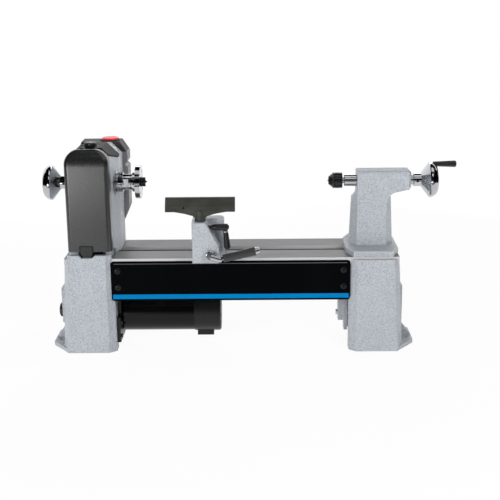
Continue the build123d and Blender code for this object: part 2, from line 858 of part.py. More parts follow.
# Handwheels: a dished cone from a plain hub to a fat round rim
def wheel_profile():
    rim = wheel_rim_diameter / 2
    hub = wheel_hub_diameter / 2
    bore = spindle_wheel_diameter / 2
    crown = wheel_hub_length + wheel_cone_length
    end = crown + wheel_rim_width
    return [
        (0, bore),
        (0, hub),
        (wheel_hub_length, hub),
        (crown - 3, rim - 3.5),
        (crown, rim),
        (crown + 4, rim),
        (end - 8, rim - 2.5),
        (end - 2.5, rim - 7),
        (end, rim - 12),
        (end - 2.5, rim - 15.5),
        (end - 9, rim - 15),
        (wheel_hub_length + 10, hub - 2),
        (wheel_hub_length + wheel_wall, hub - 2),
        (wheel_hub_length + wheel_wall, bore),
    ]


def make_wheel(hub_x, side):
    wheel = turned_x([(hub_x + side * u, r) for u, r in wheel_profile()])
    screw_x = hub_x + side * wheel_hub_length / 2
    return wheel - rod_y(-wheel_hub_diameter, 0, wheel_set_screw_diameter, screw_x, spindle_z)


nodes["spindle_handwheel"] = make_wheel(head_wheel_hub_x, -1)


# Motor: a steel can between a front bell and a rear cap, hung on a plate on the left leg
motor_left_x = -leg_inner_x + motor_plate_thickness
motor_bell_right_x = motor_left_x + motor_bell_length
motor_can_right_x = motor_bell_right_x + motor_can_length
motor_cap_right_x = motor_can_right_x + motor_cap_length
motor_bearing_diameter = 30
motor_bearing_width = 9
motor_screw_diameter = 6
plate_screw_y = leg_arch_half_width + 9
plate_screw_heights = (motor_plate_bottom + 13, motor_plate_foot_top - 13)
bell_screw_reach = motor_bolt_circle / 2 * math.sqrt(0.5)
bell_screw_places = [
    (sy * bell_screw_reach, motor_axis_z + sz * bell_screw_reach) for sy in (-1, 1) for sz in (-1, 1)
]
plate_screw_places = [(sy * plate_screw_y, z) for sy in (-1, 1) for z in plate_screw_heights]


def motor_ring(x0, x1, bore, diameter):
    return ring_x(x0, x1, bore, diameter, 0, motor_axis_z)


def make_motor_plate():
    edge = motor_plate_half_width
    foot = motor_plate_foot_half_width
    outline = [
        (-edge, motor_plate_top),
        (edge, motor_plate_top),
        (edge, motor_plate_foot_top),
        (foot, motor_plate_foot_top),
        (foot, motor_plate_bottom),
        (-foot, motor_plate_bottom),
        (-foot, motor_plate_foot_top),
        (-edge, motor_plate_foot_top),
    ]
    plate = prism_x(outline, -leg_inner_x, motor_left_x)
    plate -= rod_x(-leg_inner_x - 1, motor_left_x + 1, motor_bearing_diameter, 0, motor_axis_z)
    for y, z in bell_screw_places + plate_screw_places:
        plate -= rod_x(-leg_inner_x - 1, motor_left_x + 1, motor_screw_diameter + loose_gap, y, z)
    return plate


def make_motor_bell():
    wall_x = motor_left_x + motor_bearing_width
    rim = motor_can_diameter / 2
    bell = turned_x([
        (motor_left_x, motor_bearing_diameter / 2),
        (motor_left_x, rim - 4),
        (motor_left_x + 4, rim),
        (motor_bell_right_x, rim),
        (motor_bell_right_x, rim - motor_wall),
        (wall_x, rim - motor_wall),
        (wall_x, motor_bearing_diameter / 2),
    ], 0, motor_axis_z)
    for y, z in bell_screw_places:
        bell -= rod_x(motor_left_x - 1, wall_x + 1, motor_screw_diameter, y, z)
    return bell


def make_motor_cap():
    rim = motor_cap_diameter / 2
    wall_x = motor_cap_right_x - 6
    boss_x = wall_x - motor_bearing_width - 2
    cap = turned_x([
        (motor_can_right_x, rim - 4),
        (motor_can_right_x, rim),
        (motor_cap_right_x - 3, rim),
        (motor_cap_right_x, rim - 3),
        (motor_cap_right_x, 0),
        (wall_x, 0),
        (wall_x, motor_bearing_diameter / 2),
        (boss_x, motor_bearing_diameter / 2),
        (boss_x, motor_bearing_diameter / 2 + 6),
        (wall_x, motor_bearing_diameter / 2 + 6),
        (wall_x, rim - 4),
    ], 0, motor_axis_z)
    vent = block(motor_cap_right_x - 8, motor_cap_right_x + 1, -3, 3, rim - 20, rim - 8)
    for i in range(8):
        cap -= Pos(0, 0, motor_axis_z) * Rot(45 * i, 0, 0) * vent
    return cap


def make_rotor():
    shaft = motor_shaft_diameter / 2
    core = motor_rotor_diameter / 2
    core_x = motor_bell_right_x + 22
    brush_x = core_x + motor_rotor_length + 6
    shaft_end = motor_cap_right_x - 8
    return turned_x([
        (motor_shaft_left_x, 0),
        (motor_shaft_left_x, shaft),
        (core_x, shaft),
        (core_x, core),
        (core_x + motor_rotor_length, core),
        (core_x + motor_rotor_length, shaft + 2),
        (brush_x, shaft + 2),
        (brush_x, shaft + 8),
        (brush_x + 20, shaft + 8),
        (brush_x + 20, shaft),
        (shaft_end, shaft),
        (shaft_end, 0),
    ], 0, motor_axis_z)


def make_motor_foot():
    foot_x = (motor_can_right_x + motor_cap_right_x) / 2 - motor_foot_length / 2 - 6
    bottom = motor_axis_z - motor_cap_diameter / 2 - 9
    foot = block(foot_x, foot_x + motor_foot_length, -16, 16, bottom, bottom + 14)
    return foot - rod_x(foot_x - 1, foot_x + motor_foot_length + 1, motor_cap_diameter, 0, motor_axis_z)


nodes["motor_plate"] = make_motor_plate()
nodes["motor_bell"] = make_motor_bell()
can_bore = motor_can_diameter - 2 * motor_wall
nodes["motor_can"] = motor_ring(motor_bell_right_x, motor_can_right_x, can_bore, motor_can_diameter)
nodes["motor_cap"] = make_motor_cap() + make_motor_foot()
magnet_x0 = motor_bell_right_x + 17
magnet_x1 = magnet_x0 + motor_rotor_length + 10
magnets = motor_ring(magnet_x0, magnet_x1, can_bore - 2 * motor_magnet_thickness, can_bore)
magnet_gap = motor_magnet_thickness
magnets -= block(magnet_x0 - 1, magnet_x1 + 1, -magnet_gap, magnet_gap, 0, 2 * motor_axis_z)
nodes["motor_magnets"] = list(magnets.solids())
motor_rear_bearing_x = motor_cap_right_x - 8 - motor_bearing_width
motor_bearing_bore = motor_shaft_diameter + 2 * running_gap
nodes["motor_bearings"] = [
    motor_ring(x, x + motor_bearing_width, motor_bearing_bore, motor_bearing_diameter)
    for x in (motor_left_x, motor_rear_bearing_x)
]
nodes["motor_rotor"] = make_rotor()
screw_tip_x = -leg_inner_x - leg_wall
bell_screw_tip_x = motor_left_x + motor_bearing_width
nodes["motor_screws"] = [
    hex_bolt_x(-leg_inner_x, bell_screw_tip_x, motor_screw_diameter, y, z) for y, z in bell_screw_places
]
nodes["motor_screws"] += [
    hex_bolt_x(motor_left_x, screw_tip_x, motor_screw_diameter, y, z) for y, z in plate_screw_places
]
for y, z in plate_screw_places:
    nodes["left_leg"] -= rod_x(screw_tip_x - 1, -leg_inner_x + 1, motor_screw_diameter, y, z)


# Belt door: a deep moulded cover, hinged along its top edge
def door_form(inset, bottom, y0, y1):
    x0 = door_left_x + inset
    x1 = door_right_x - inset
    z1 = door_top - inset
    r = door_corner_radius - inset
    bow = r * (1 - math.sqrt(0.5))
    sides = Polyline((x0, y0, z1 - r), (x0, y0, bottom), (x1, y0, bottom), (x1, y0, z1 - r))
    right = ThreePointArc((x1, y0, z1 - r), (x1 - bow, y0, z1 - bow), (x1 - r, y0, z1))
    top = Line((x1 - r, y0, z1), (x0 + r, y0, z1))
    left = ThreePointArc((x0 + r, y0, z1), (x0 + bow, y0, z1 - bow), (x0, y0, z1 - r))
    face = make_face([*sides.edges(), *right.edges(), *top.edges(), *left.edges()])
    arch = extrude(face, amount=y1 - y0, dir=(0, 1, 0))
    # Its top rolls back towards the hinge
    roll_y = door_front_y + door_roll_depth
    roll_z = door_top - door_roll_height
    roll = EllipticalCenterArc((roll_y, roll_z), roll_y - y0, z1 - roll_z, 90, arc_size=90)
    straight = Polyline((y0, roll_z), (y0, bottom), (y1, bottom), (y1, z1), (roll_y, z1))
    profile = Plane.YZ.offset(x0) * make_face([*roll.edges(), *straight.edges()])
    arch &= extrude(profile, amount=x1 - x0)
    front = arch.edges().filter_by(lambda e: e.bounding_box().min.Y < roll_y - 1 and e.bounding_box().size.Z > 1)
    return fillet(front, door_edge_radius - inset)


door_rear_y = head_front_y - 2 * loose_gap
door_knuckle_length = 6
door_notch_reach = 2


def make_door():
    door = door_form(0, door_bottom, door_front_y, door_rear_y)
    door -= door_form(door_wall, door_bottom - 1, door_front_y + door_wall, door_rear_y + 1)
    notch_half = latch_width / 2 + 2
    door -= block(latch_x - notch_half, latch_x + notch_half, door_front_y - 1, door_front_y + door_wall + 1,
                  door_bottom - 1, latch_top + 2)
    for lug_x, side in zip(door_lug_places, (1, -1)):
        start = lug_x + door_lug_width + loose_gap if side > 0 else lug_x - loose_gap - door_knuckle_length
        end = start + door_knuckle_length
        door += block(start, end, door_hinge_y - 4, door_hinge_y + 4, door_hinge_z, door_top - door_wall)
        door += rod_x(start, end, door_knuckle_diameter, door_hinge_y, door_hinge_z)
    pin_hole = door_pin_diameter + 2 * running_gap
    inset = door_wall + 1
    door -= rod_x(door_left_x + inset, door_right_x - inset, pin_hole, door_hinge_y, door_hinge_z)
    # Notches in the top edge, so that it swings past the casting's lugs
    for x in door_lug_places:
        door -= block(x - loose_gap, x + door_lug_width + loose_gap, door_hinge_y - door_notch_reach,
                      door_rear_y + 1, door_top - door_wall - loose_gap, door_top + 1)
    return door


def make_latch():
    half = latch_width / 2
    y0 = door_front_y - 0.5
    tab = prism_y([
        (latch_x - half, latch_top),
        (latch_x - half, latch_bottom + 7),
        (latch_x - half + 6, latch_bottom),
        (latch_x + half - 6, latch_bottom),
        (latch_x + half, latch_bottom + 7),
        (latch_x + half, latch_top),
    ], y0, y0 + latch_thickness)
    back = block(latch_x - half - 6, latch_x + half + 6, door_front_y + door_wall, y0 + latch_thickness + 2,
                 door_bottom + 3, latch_top + 9)
    return tab + back


nodes["belt_door"] = make_door()
nodes["door_latch"] = make_latch()
pin_length = door_lug_width + door_knuckle_length + 8
pin_starts = (door_lug_places[0] - 4, door_lug_places[1] - door_knuckle_length - 4)
nodes["door_hinge_pins"] = [
    rod_x(x, x + pin_length, door_pin_diameter, door_hinge_y, door_hinge_z) for x in pin_starts
]


# Controls: a moulded top panel and a box behind the casting that holds the drive board
def make_housing():
    """A saddle over the casting's top and bevels."""
    foot = head_top - head_bevel
    side_top = foot + housing_side_wall * math.sqrt(2)
    shoulder = housing_top - side_top
    outline = [
        (head_left_x, foot),
        (head_right_x, foot),
        (head_right_x, side_top),
        (head_right_x - shoulder, housing_top),
        (head_left_x + shoulder, housing_top),
        (head_left_x, side_top),
    ]
    housing = prism_y(outline, housing_front_y, housing_rear_y) & prism_z(head_plan, bed_top, housing_top)
    housing -= prism_y(head_outline, housing_front_y, housing_rear_y)
    stem_hole = control_stem_diameter + 2 * running_gap
    housing -= rod_z(head_top, housing_top + 1, stem_hole, speed_knob_x, speed_knob_y)
    half_width = switch_width / 2
    half_length = switch_length / 2
    return housing - block(switch_x - half_width, switch_x + half_width, switch_y - half_length,
                           switch_y + half_length, head_top + 1, housing_top + 1)


def box_outline(inset):
    left = box_left_x + inset
    right = box_right_x - inset
    top = box_top - inset
    bottom = box_bottom + inset
    return [
        (left, top),
        (right - box_top_corner[0], top),
        (right, top - box_top_corner[1]),
        (right, box_groove_z + box_groove_depth),
        (right - box_groove_depth, box_groove_z),
        (right, box_groove_z - box_groove_depth),
        (right, bottom + box_bottom_corner[1]),
        (right - box_bottom_corner[0], bottom),
        (left, bottom),
    ]


def make_box():
    box = prism_y(box_outline(0), head_rear_y, box_rear_y)
    box -= prism_y(box_outline(box_wall), head_rear_y + box_wall, box_rear_y - box_wall)
    # Open towards the casting, which closes it
    box -= block(box_left_x + box_wall, head_right_x - box_wall, head_rear_y - 1, head_rear_y + box_wall + 1,
                 box_bottom + box_wall, head_top - head_bevel - box_wall)
    bezel_bore = stop_button_diameter + 1
    bezel_diameter = bezel_bore + 2 * stop_bezel_width
    box += rod_z(box_top, box_top + stop_bezel_height, bezel_diameter, stop_button_x, stop_button_y)
    box -= rod_z(box_top, box_top + stop_bezel_height + 1, bezel_bore, stop_button_x, stop_button_y)
    stem_hole = control_stem_diameter + 2 * running_gap
    box -= rod_z(box_top - 2 * box_wall, box_top + 1, stem_hole, stop_button_x, stop_button_y)
    box -= rod_z(box_bottom - 1, box_bottom + box_wall + 1, gland_diameter - 4, gland_x, gland_y)
    return box


gland_x = box_left_x + 26
gland_y = (head_rear_y + box_rear_y) / 2
nodes["control_housing"] = make_housing()
nodes["control_box"] = make_box()


def make_board():
    """The drive board on its stand-offs, with the heat sink of its switching stage."""
    rear = head_rear_y + board_standoff
    face = rear + board_thickness
    x0 = box_left_x + board_margin
    x1 = x0 + board_width
    z0 = box_bottom + board_lift
    z1 = z0 + board_height
    board = block(x0, x1, rear, face, z0, z1)
    sink_x = (x0 + x1) / 2
    sink_z = (z0 + z1) / 2
    board += block(sink_x - sink_width / 2, sink_x + sink_width / 2, face, face + sink_depth,
                   sink_z - sink_height / 2, sink_z + sink_height / 2)
    for x in (x0 + board_standoff, x1 - board_standoff):
        for z in (z0 + board_standoff, z1 - board_standoff):
            board += rod_y(head_rear_y, rear, standoff_diameter, x, z)
    return board


nodes["controller_board"] = make_board()
nodes["cord_gland"] = (
    rod_z(box_bottom - gland_length, box_bottom, gland_diameter, gland_x, gland_y)
    + rod_z(box_bottom, box_bottom + box_wall + 3, gland_diameter - 4, gland_x, gland_y)
    - rod_z(box_bottom - gland_length - 1, box_bottom + box_wall + 4, 7.5, gland_x, gland_y)
)
knob_base = housing_top + loose_gap
knob = rod_z(knob_base, knob_base + speed_knob_height, speed_knob_diameter, speed_knob_x, speed_knob_y)
knob = chamfer(knob.edges().group_by(Axis.Z)[-1], 2)
knob += rod_z(head_top + loose_gap, knob_base, control_stem_diameter, speed_knob_x, speed_knob_y)
nodes["speed_knob"] = knob
button_base = box_top + stop_button_travel + loose_gap
button_top = button_base + stop_button_height
button = rod_z(button_base, button_top, stop_button_diameter, stop_button_x, stop_button_y)
button = fillet(button.edges().group_by(Axis.Z)[-1], stop_button_height - 0.5)
button += rod_z(box_top - 14, button_base, control_stem_diameter, stop_button_x, stop_button_y)
nodes["stop_button"] = button
rocker = [
    (switch_y - switch_length / 2 + 1, housing_top - 3),
    (switch_y, housing_top - 5),
    (switch_y + switch_length / 2 - 1, housing_top - 3),
    (switch_y + switch_length / 2 - 1, housing_top + 4),
    (switch_y, housing_top + 1),
    (switch_y - switch_length / 2 + 1, housing_top + 1),
]
rocker_half = switch_width / 2 - loose_gap
nodes["direction_switch"] = prism_x(rocker, switch_x - rocker_half, switch_x + rocker_half)


# Side door: a plate over the lower belt opening, on a pin along its rear edge
side_door_face_x = -leg_pad_face_x - loose_gap
side_pin_y = leg_pad_half_width - 4
side_pin_x = side_door_face_x - side_door_thickness
side_door_z0 = leg_pad_bottom + side_door_edge
side_door_z1 = leg_pad_top - side_door_edge
side_lug_length = 14


def make_side_door():
    front_y = -leg_pad_half_width + side_door_edge
    door = block(side_pin_x, side_door_face_x, front_y, side_pin_y, side_door_z0, side_door_z1)
    door = fillet(door.edges().filter_by(Axis.X).group_by(Axis.Y)[0], 6)
    knuckle_z0 = side_door_z0 + side_lug_length + loose_gap
    knuckle_z1 = side_door_z1 - side_lug_length - loose_gap
    door += rod_z(knuckle_z0, knuckle_z1, side_knuckle_diameter, side_pin_x, side_pin_y)
    lug_room = side_knuckle_diameter + 2
    door -= rod_z(side_door_z0 - 1, knuckle_z0, lug_room, side_pin_x, side_pin_y)
    door -= rod_z(knuckle_z1, side_door_z1 + 1, lug_room, side_pin_x, side_pin_y)
    door -= rod_z(side_door_z0, side_door_z1, side_pin_diameter + 2 * running_gap, side_pin_x, side_pin_y)
    stem_hole = side_knob_stem_diameter + 2 * running_gap
    door -= rod_x(side_pin_x - 1, side_door_face_x + 1, stem_hole, side_knob_y, side_knob_z)
    return door


for z0 in (side_door_z0, side_door_z1 - side_lug_length):
    z1 = z0 + side_lug_length
    knuckle = rod_z(z0, z1, side_knuckle_diameter, side_pin_x, side_pin_y)
    knuckle += block(side_pin_x, -leg_pad_face_x + 1, side_pin_y - 2, side_pin_y + 4, z0, z1)
    nodes["left_leg"] += knuckle - rod_z(z0 - 1, z1 + 1, side_pin_diameter, side_pin_x, side_pin_y)
nodes["side_door"] = make_side_door()
nodes["side_door_pin"] = rod_z(side_door_z0, side_door_z1, side_pin_diameter, side_pin_x, side_pin_y)
side_knob_x = side_door_face_x - side_door_thickness - loose_gap
side_knob = rod_x(side_knob_x - side_knob_length, side_knob_x, side_knob_diameter, side_knob_y, side_knob_z)
side_knob = chamfer(side_knob.edges().group_by(Axis.X)[0], 2.5)
side_knob += rod_x(side_knob_x, side_door_face_x + 2, side_knob_stem_diameter, side_knob_y, side_knob_z)
tongue_x = side_door_face_x + 2
side_knob += block(tongue_x, tongue_x + 3, side_knob_y - 5, side_knob_y + 5, side_knob_z - 5, side_knob_z + 5)
nodes["side_door_knob"] = side_knob


# Banjo: a cast foot that slides on the bed and carries the tool rest's post in front
def make_banjo():
    base_top = bed_top + banjo_base_height
    pillar_rear = banjo_front_y + banjo_pillar_depth
    side_outline = [
        (pillar_rear - 6, bed_top),
        (pillar_rear - 6, banjo_top),
        (banjo_rear_pillar_y - 14, banjo_top),
        (banjo_rear_pillar_y + 4, base_top),
        (banjo_rear_y - 8, base_top),
        (banjo_rear_y, base_top - 8),
        (banjo_rear_y, bed_top),
    ]
    banjo = prism_x(side_outline, banjo_left_x, banjo_right_x)
    right = banjo_left_x + banjo_front_width
    front_outline = [
        (banjo_left_x, bed_top),
        (right, bed_top),
        (right, banjo_pillar_shoulder),
        (banjo_left_x + banjo_pillar_top_width, banjo_top),
        (banjo_left_x, banjo_top),
    ]
    pillar = prism_y(front_outline, banjo_front_y, pillar_rear)
    pillar = fillet(pillar.faces().sort_by(Axis.Y)[0].edges(), banjo_edge_radius)
    rear_corners = banjo.edges().filter_by(Axis.Z).group_by(Axis.Y)[-1]
    banjo = fillet(rear_corners, banjo_edge_radius)
    top_right = banjo.edges().filter_by(Axis.Y).group_by(Axis.Z)[-1].sort_by(Axis.X)[-1]
    banjo = fillet(top_right, banjo_top_radius) + pillar
    slot_half = banjo_slot_width / 2
    slot_y0 = banjo_slot_front_y + slot_half
    slot_y1 = banjo_slot_rear_y - slot_half
    banjo -= block(banjo_x - slot_half, banjo_x + slot_half, slot_y0, slot_y1, bed_top - 1, base_top + 1)
    for y in (slot_y0, slot_y1):
        banjo -= rod_z(bed_top - 1, base_top + 1, banjo_slot_width, banjo_x, y)
    post_hole = rest_post_diameter + 2 * running_gap
    banjo -= rod_z(rest_post_bottom - 6, banjo_top + 1, post_hole, rest_post_x, rest_post_y)
    lock_tip = rest_post_x + rest_post_diameter / 2
    lock_hole = rest_lock_stud_diameter + 2 * running_gap
    banjo -= rod_x(lock_tip, banjo_right_x, lock_hole, rest_post_y, rest_lock_z)
    banjo -= rod_y(banjo_front_y - 1, cam_shaft_end_y + 1, cam_shaft_diameter + 2 * running_gap, cam_x, cam_z)
    return banjo


cam_shaft_end_y = banjo_slot_front_y - 24
nodes["banjo"] = make_banjo()

# The clamp under the ways: a plate with a tongue in the bed's slot, and a stud that turns in it
plate_top = way_underside - slide_gap
clamp_bottom = plate_top - clamp_plate_thickness


def make_clamp_plate(x):
    x0 = x - clamp_plate_length / 2
    x1 = x + clamp_plate_length / 2
    half_width = clamp_plate_width / 2
    tongue_half = bed_slot_width / 2 - slide_gap
    plate = block(x0, x1, -half_width, half_width, clamp_bottom, plate_top)
    plate += block(x0, x1, -tongue_half, tongue_half, plate_top, plate_top + clamp_tongue_height)
    upright = plate.edges().filter_by(Axis.Z).group_by(Axis.Y)
    return chamfer(upright[0] + upright[-1], clamp_plate_corner)


banjo_stud_hole = rod_z(clamp_bottom - 1, bed_top, banjo_stud_diameter + 2 * running_gap, banjo_x, 0)
nodes["banjo_clamp_plate"] = make_clamp_plate(banjo_x) - banjo_stud_hole
stud_bottom = clamp_bottom - slide_gap
banjo_stud = hex_bolt_z(stud_bottom, bed_top + banjo_base_height + 12, banjo_stud_diameter, banjo_x, 0)
washer_z = bed_top + banjo_base_height + slide_gap
banjo_stud += rod_z(washer_z, washer_z + 3, 24, banjo_x, 0)
nut = extrude(RegularPolygon(11, 6), amount=8)
banjo_stud += Pos(banjo_x, 0, washer_z + 3) * nut
nodes["banjo_clamp_stud"] = banjo_stud


# The clamp's cam shaft and hand lever on the banjo's front
def along_lever(start, length, radius, end_radius):
    """A tapered round bar in the XZ plane, leaning up by the lever's angle."""
    outline = Polyline((0, 0, 0), (radius, 0, 0), (end_radius, 0, length), (0, 0, length), close=True)
    bar = revolve(make_face(outline), Axis.Z)
    return Pos(start[0], cam_lever_y, start[1]) * Rot(0, 90 - cam_lever_angle, 0) * bar


def lever_point(distance):
    a = math.radians(cam_lever_angle)
    return (cam_x + cam_neck_x + distance * math.cos(a), cam_z - cam_neck_drop + distance * math.sin(a))


nut_rear_y = banjo_front_y - loose_gap
cam_lever = rod_y(nut_rear_y, cam_shaft_end_y, cam_shaft_diameter, cam_x, cam_z)
cam_lever += rod_y(nut_rear_y - cam_nut_width, nut_rear_y, cam_nut_diameter, cam_x, cam_z)
cam_lever = fillet(cam_lever.edges().group_by(Axis.Y)[0], 3)
neck_length = math.hypot(cam_neck_x, cam_neck_drop)
neck_angle = math.degrees(math.atan2(cam_neck_drop, cam_neck_x))
neck = Cylinder(cam_neck_diameter / 2, neck_length, align=standing)
cam_lever += Pos(cam_x, cam_lever_y, cam_z) * Rot(0, 90 + neck_angle, 0) * neck
cam_lever += Pos(cam_x + cam_neck_x, cam_lever_y, cam_z - cam_neck_drop) * Sphere(cam_neck_diameter / 2)
core_radius = cam_core_diameter / 2
cam_core = along_lever(lever_point(0), cam_grip_length + 4, core_radius, core_radius)
grip_end = lever_point(cam_grip_length)
cam_lever += cam_core + along_lever(grip_end, cam_cap_length, cam_cap_diameter / 2, cam_cap_diameter / 2 - 2)
nodes["banjo_lever"] = cam_lever
grip_start = cam_neck_diameter / 2 + 1
grip_length = cam_grip_length - grip_start
grip = along_lever(lever_point(grip_start), grip_length, cam_grip_diameter / 2 - 1, cam_grip_diameter / 2)
nodes["banjo_lever_grip"] = grip - cam_core

# Tool rest: a post that slides in the banjo and a leaning bar that swivels on it
rest_post = rod_z(rest_post_bottom, rest_post_top, rest_post_diameter, rest_post_x, rest_post_y)
rest_post += rod_z(rest_post_top, rest_post_top + 16, rest_pin_diameter, rest_post_x, rest_post_y)
nodes["rest_post"] = chamfer(rest_post.edges().group_by(Axis.Z)[0], 1.5)


def make_tool_rest():
    bottom = rest_top - rest_bar_height
    y = rest_post_y
    section = [
        (y - 8, bottom),
        (y - 6, bottom + 11),
        (y + 7, rest_top),
        (y + 7 + rest_bar_thickness * 0.7, rest_top),
        (y + 7 + rest_bar_thickness * 0.7, rest_top - 8),
        (y + 4, bottom + 3),
        (y + 4, bottom),
    ]
    bar = prism_x(section, rest_post_x - rest_length / 2, rest_post_x + rest_length / 2)
    neck = rest_collar_diameter / 2
    web = [
        (62, bottom + 1),
        (34, bottom - 4),
        (neck + 4, bottom - 9),
        (neck, bottom - 13),
        (neck, rest_post_top + slide_gap),
    ]
    outline = [(rest_post_x + x, z) for x, z in web] + [(rest_post_x - x, z) for x, z in reversed(web)]
    rest = bar + prism_y(outline, y - 8, y + 4)
    rest += rod_z(rest_post_top + slide_gap, bottom + 2, rest_collar_diameter, rest_post_x, y)
    rest -= rod_z(rest_post_top, rest_post_top + 16.5, rest_pin_diameter + 2 * running_gap, rest_post_x, y)
    return rest - rod_y(y - 20, y, 5, rest_post_x - 36, bottom + 9)


nodes["tool_rest"] = make_tool_rest()


# The rest's locking handle: a hub on a stud, with a lever that hangs from it
def hanging_lever(length):
    """A lever with a waist below its hub, wider towards its rounded end."""
    outline = Polyline(
        (0, 0, 0),
        (5, 0, 0),
        (4.5, 0, -10),
        (5.2, 0, -13),
        (6.8, 0, 3 - length),
        (4.5, 0, -length),
        (0, 0, -length),
        close=True,
    )
    return Rot(0, -5, 0) * revolve(make_face(outline), Axis.Z)


lock_tip_x = rest_post_x + rest_post_diameter / 2 + 1
lock_stud = rest_lock_stud_diameter / 2
lock_hub = rest_lock_hub_diameter / 2
rest_lock = turned_x([
    (lock_tip_x, 0),
    (lock_tip_x, lock_stud),
    (rest_lock_hub_left_x, lock_stud),
    (rest_lock_hub_left_x, lock_stud + 1.5),
    (rest_lock_hub_left_x + rest_lock_neck_length, lock_hub),
    (rest_lock_hub_right_x - 3, lock_hub),
    (rest_lock_hub_right_x, lock_hub - 3),
    (rest_lock_hub_right_x, 0),
], rest_post_y, rest_lock_z)
rest_lock += rod_x(rest_lock_hub_right_x, rest_lock_hub_right_x + 1, lock_hub, rest_post_y, rest_lock_z)
rest_lever_x = rest_lock_hub_right_x - lock_hub
rest_lock += Pos(rest_lever_x, rest_post_y, rest_lock_z) * hanging_lever(rest_lock_lever_length)
nodes["rest_lock_handle"] = rest_lock


# Tailstock: a base, a column with bevelled corners and a barrel that reaches back over it
tail_base_x0 = tail_x - tail_base_length / 2
tail_base_x1 = tail_x + tail_base_length / 2


def tail_section(z, corner):
    """The column's outline, with corner pieces to its left and right."""
    front = -tail_body_half_depth
    left = tail_body_left_x
    right = tail_body_right_x
    near = front + tail_column_shoulder
    far = tail_column_rear_y - tail_column_shoulder
    plan = [
        (left, front),
        (right, front),
        (right + corner, near),
        (right + corner, far),
        (right, tail_column_rear_y),
        (left, tail_column_rear_y),
        (left - corner, far),
        (left - corner, near),
    ]
    return make_face(Polyline([(x, y, z) for x, y in plan], close=True))


def make_tailstock():
    w = tail_base_half_width
    base_top = bed_top + tail_base_height
    rear = [
        (tail_base_x1, w - tail_base_corner_y),
        (tail_base_x1 - tail_base_corner_x, w),
        (tail_base_x0 + tail_base_corner_x, w),
        (tail_base_x0, w - tail_base_corner_y),
    ]
    base = prism_z(rear + [(x, -y) for x, y in reversed(rear)], bed_top, base_top)
    base = chamfer(base.edges().group_by(Axis.Z)[-1], 2)
    front_y = -tail_body_half_depth
    left = tail_body_left_x
    right = tail_body_right_x
    cap_bottom = tail_column_top - tail_column_corner
    column = loft([
        tail_section(base_top, tail_column_corner + tail_column_flare),
        tail_section(cap_bottom, tail_column_corner),
    ], ruled=True)
    upright = column.edges().filter_by(lambda e: e.bounding_box().size.Z > tail_base_height)
    column = fillet(upright, tail_edge_radius)
    column += loft([
        tail_section(cap_bottom, tail_column_corner),
        tail_section(tail_column_top, 1),
    ], ruled=True)
    barrel_top = spindle_z + tail_barrel_half_height
    under = spindle_z - tail_barrel_half_height
    profile = [
        (left, base_top),
        (right, base_top),
        (right, under - 3),
        (tail_barrel_end_x, spindle_z - tail_barrel_end_drop),
        (tail_barrel_end_x, barrel_top),
        (left, barrel_top),
    ]
    body = prism_y(profile, front_y, -front_y)
    corner = body.edges().filter_by(Axis.Y).sort_by_distance((right, 0, under - 3))[0]
    body = fillet(corner, tail_fillet)
    body = fillet(body.edges().filter_by(Axis.X).group_by(Axis.Z)[-1], tail_barrel_top_radius)
    body = chamfer(body.faces().sort_by(Axis.X)[-1].edges(), tail_barrel_chamfer)
    tail = base + column + body
    tail -= rod_x(tail_body_left_x - 1, quill_bore_end_x, quill_diameter + 2 * running_gap)
    tail -= rod_x(quill_bore_end_x - 1, tail_barrel_end_x + 1, leadscrew_diameter + 2 * running_gap)
    tail -= rod_z(bed_top - 1, tail_stud_top, tail_stud_diameter, tail_x, 0)
    shaft_hole = tail_shaft_diameter + 2 * running_gap
    tail -= rod_y(tail_shaft_y, tail_column_rear_y + 1, shaft_hole, tail_x, tail_clamp_z)
    lock_hole = quill_lock_stem_diameter + 2 * running_gap
    tail -= rod_y(0, tail_body_half_depth + 1, lock_hole, quill_lock_x, spindle_z)
    return tail


quill_bore_end_x = tail_barrel_end_x - 13
tail_stud_top = bed_top + 26
tail_shaft_y = 6
quill_lock_x = tail_x + 18
nodes["tailstock"] = make_tailstock()
tail_clamp_hole = rod_z(clamp_bottom - 1, bed_top, tail_stud_diameter, tail_x, 0)
nodes["tail_clamp_plate"] = make_clamp_plate(tail_x) - tail_clamp_hole
nodes["tail_clamp_stud"] = hex_bolt_z(clamp_bottom, tail_stud_top, tail_stud_diameter, tail_x, 0)

# Clamp lever and quill lock on the tailstock's rear side
lever_y = tail_column_rear_y + loose_gap
lever_bar_y = lever_y + tail_lever_hub_length / 2 + 1
lever_top = tail_clamp_z + tail_lever_length
tail_lever = rod_y(tail_shaft_y + 1, lever_y, tail_shaft_diameter, tail_x, tail_clamp_z)
tail_lever += rod_y(lever_y, lever_y + tail_lever_hub_length, tail_lever_hub_diameter, tail_x, tail_clamp_z)
tail_lever += rod_z(tail_clamp_z, lever_top, tail_lever_diameter, tail_x, lever_bar_y)
tail_lever += Pos(tail_x, lever_bar_y, lever_top) * Sphere(tail_lever_ball_diameter / 2)
nodes["tail_clamp_lever"] = tail_lever
lock_y = tail_body_half_depth + loose_gap
lock_end_y = lock_y + quill_lock_hub_length
quill_lock = rod_y(quill_diameter / 2 + 1, lock_y, quill_lock_stem_diameter, quill_lock_x, spindle_z)
quill_lock += rod_y(lock_y, lock_end_y, quill_lock_hub_diameter, quill_lock_x, spindle_z)
lock_lever_place = (quill_lock_x, lock_end_y - quill_lock_hub_diameter / 2, spindle_z)
quill_lock += Pos(*lock_lever_place) * hanging_lever(quill_lock_lever_length)
nodes["quill_lock_handle"] = quill_lock

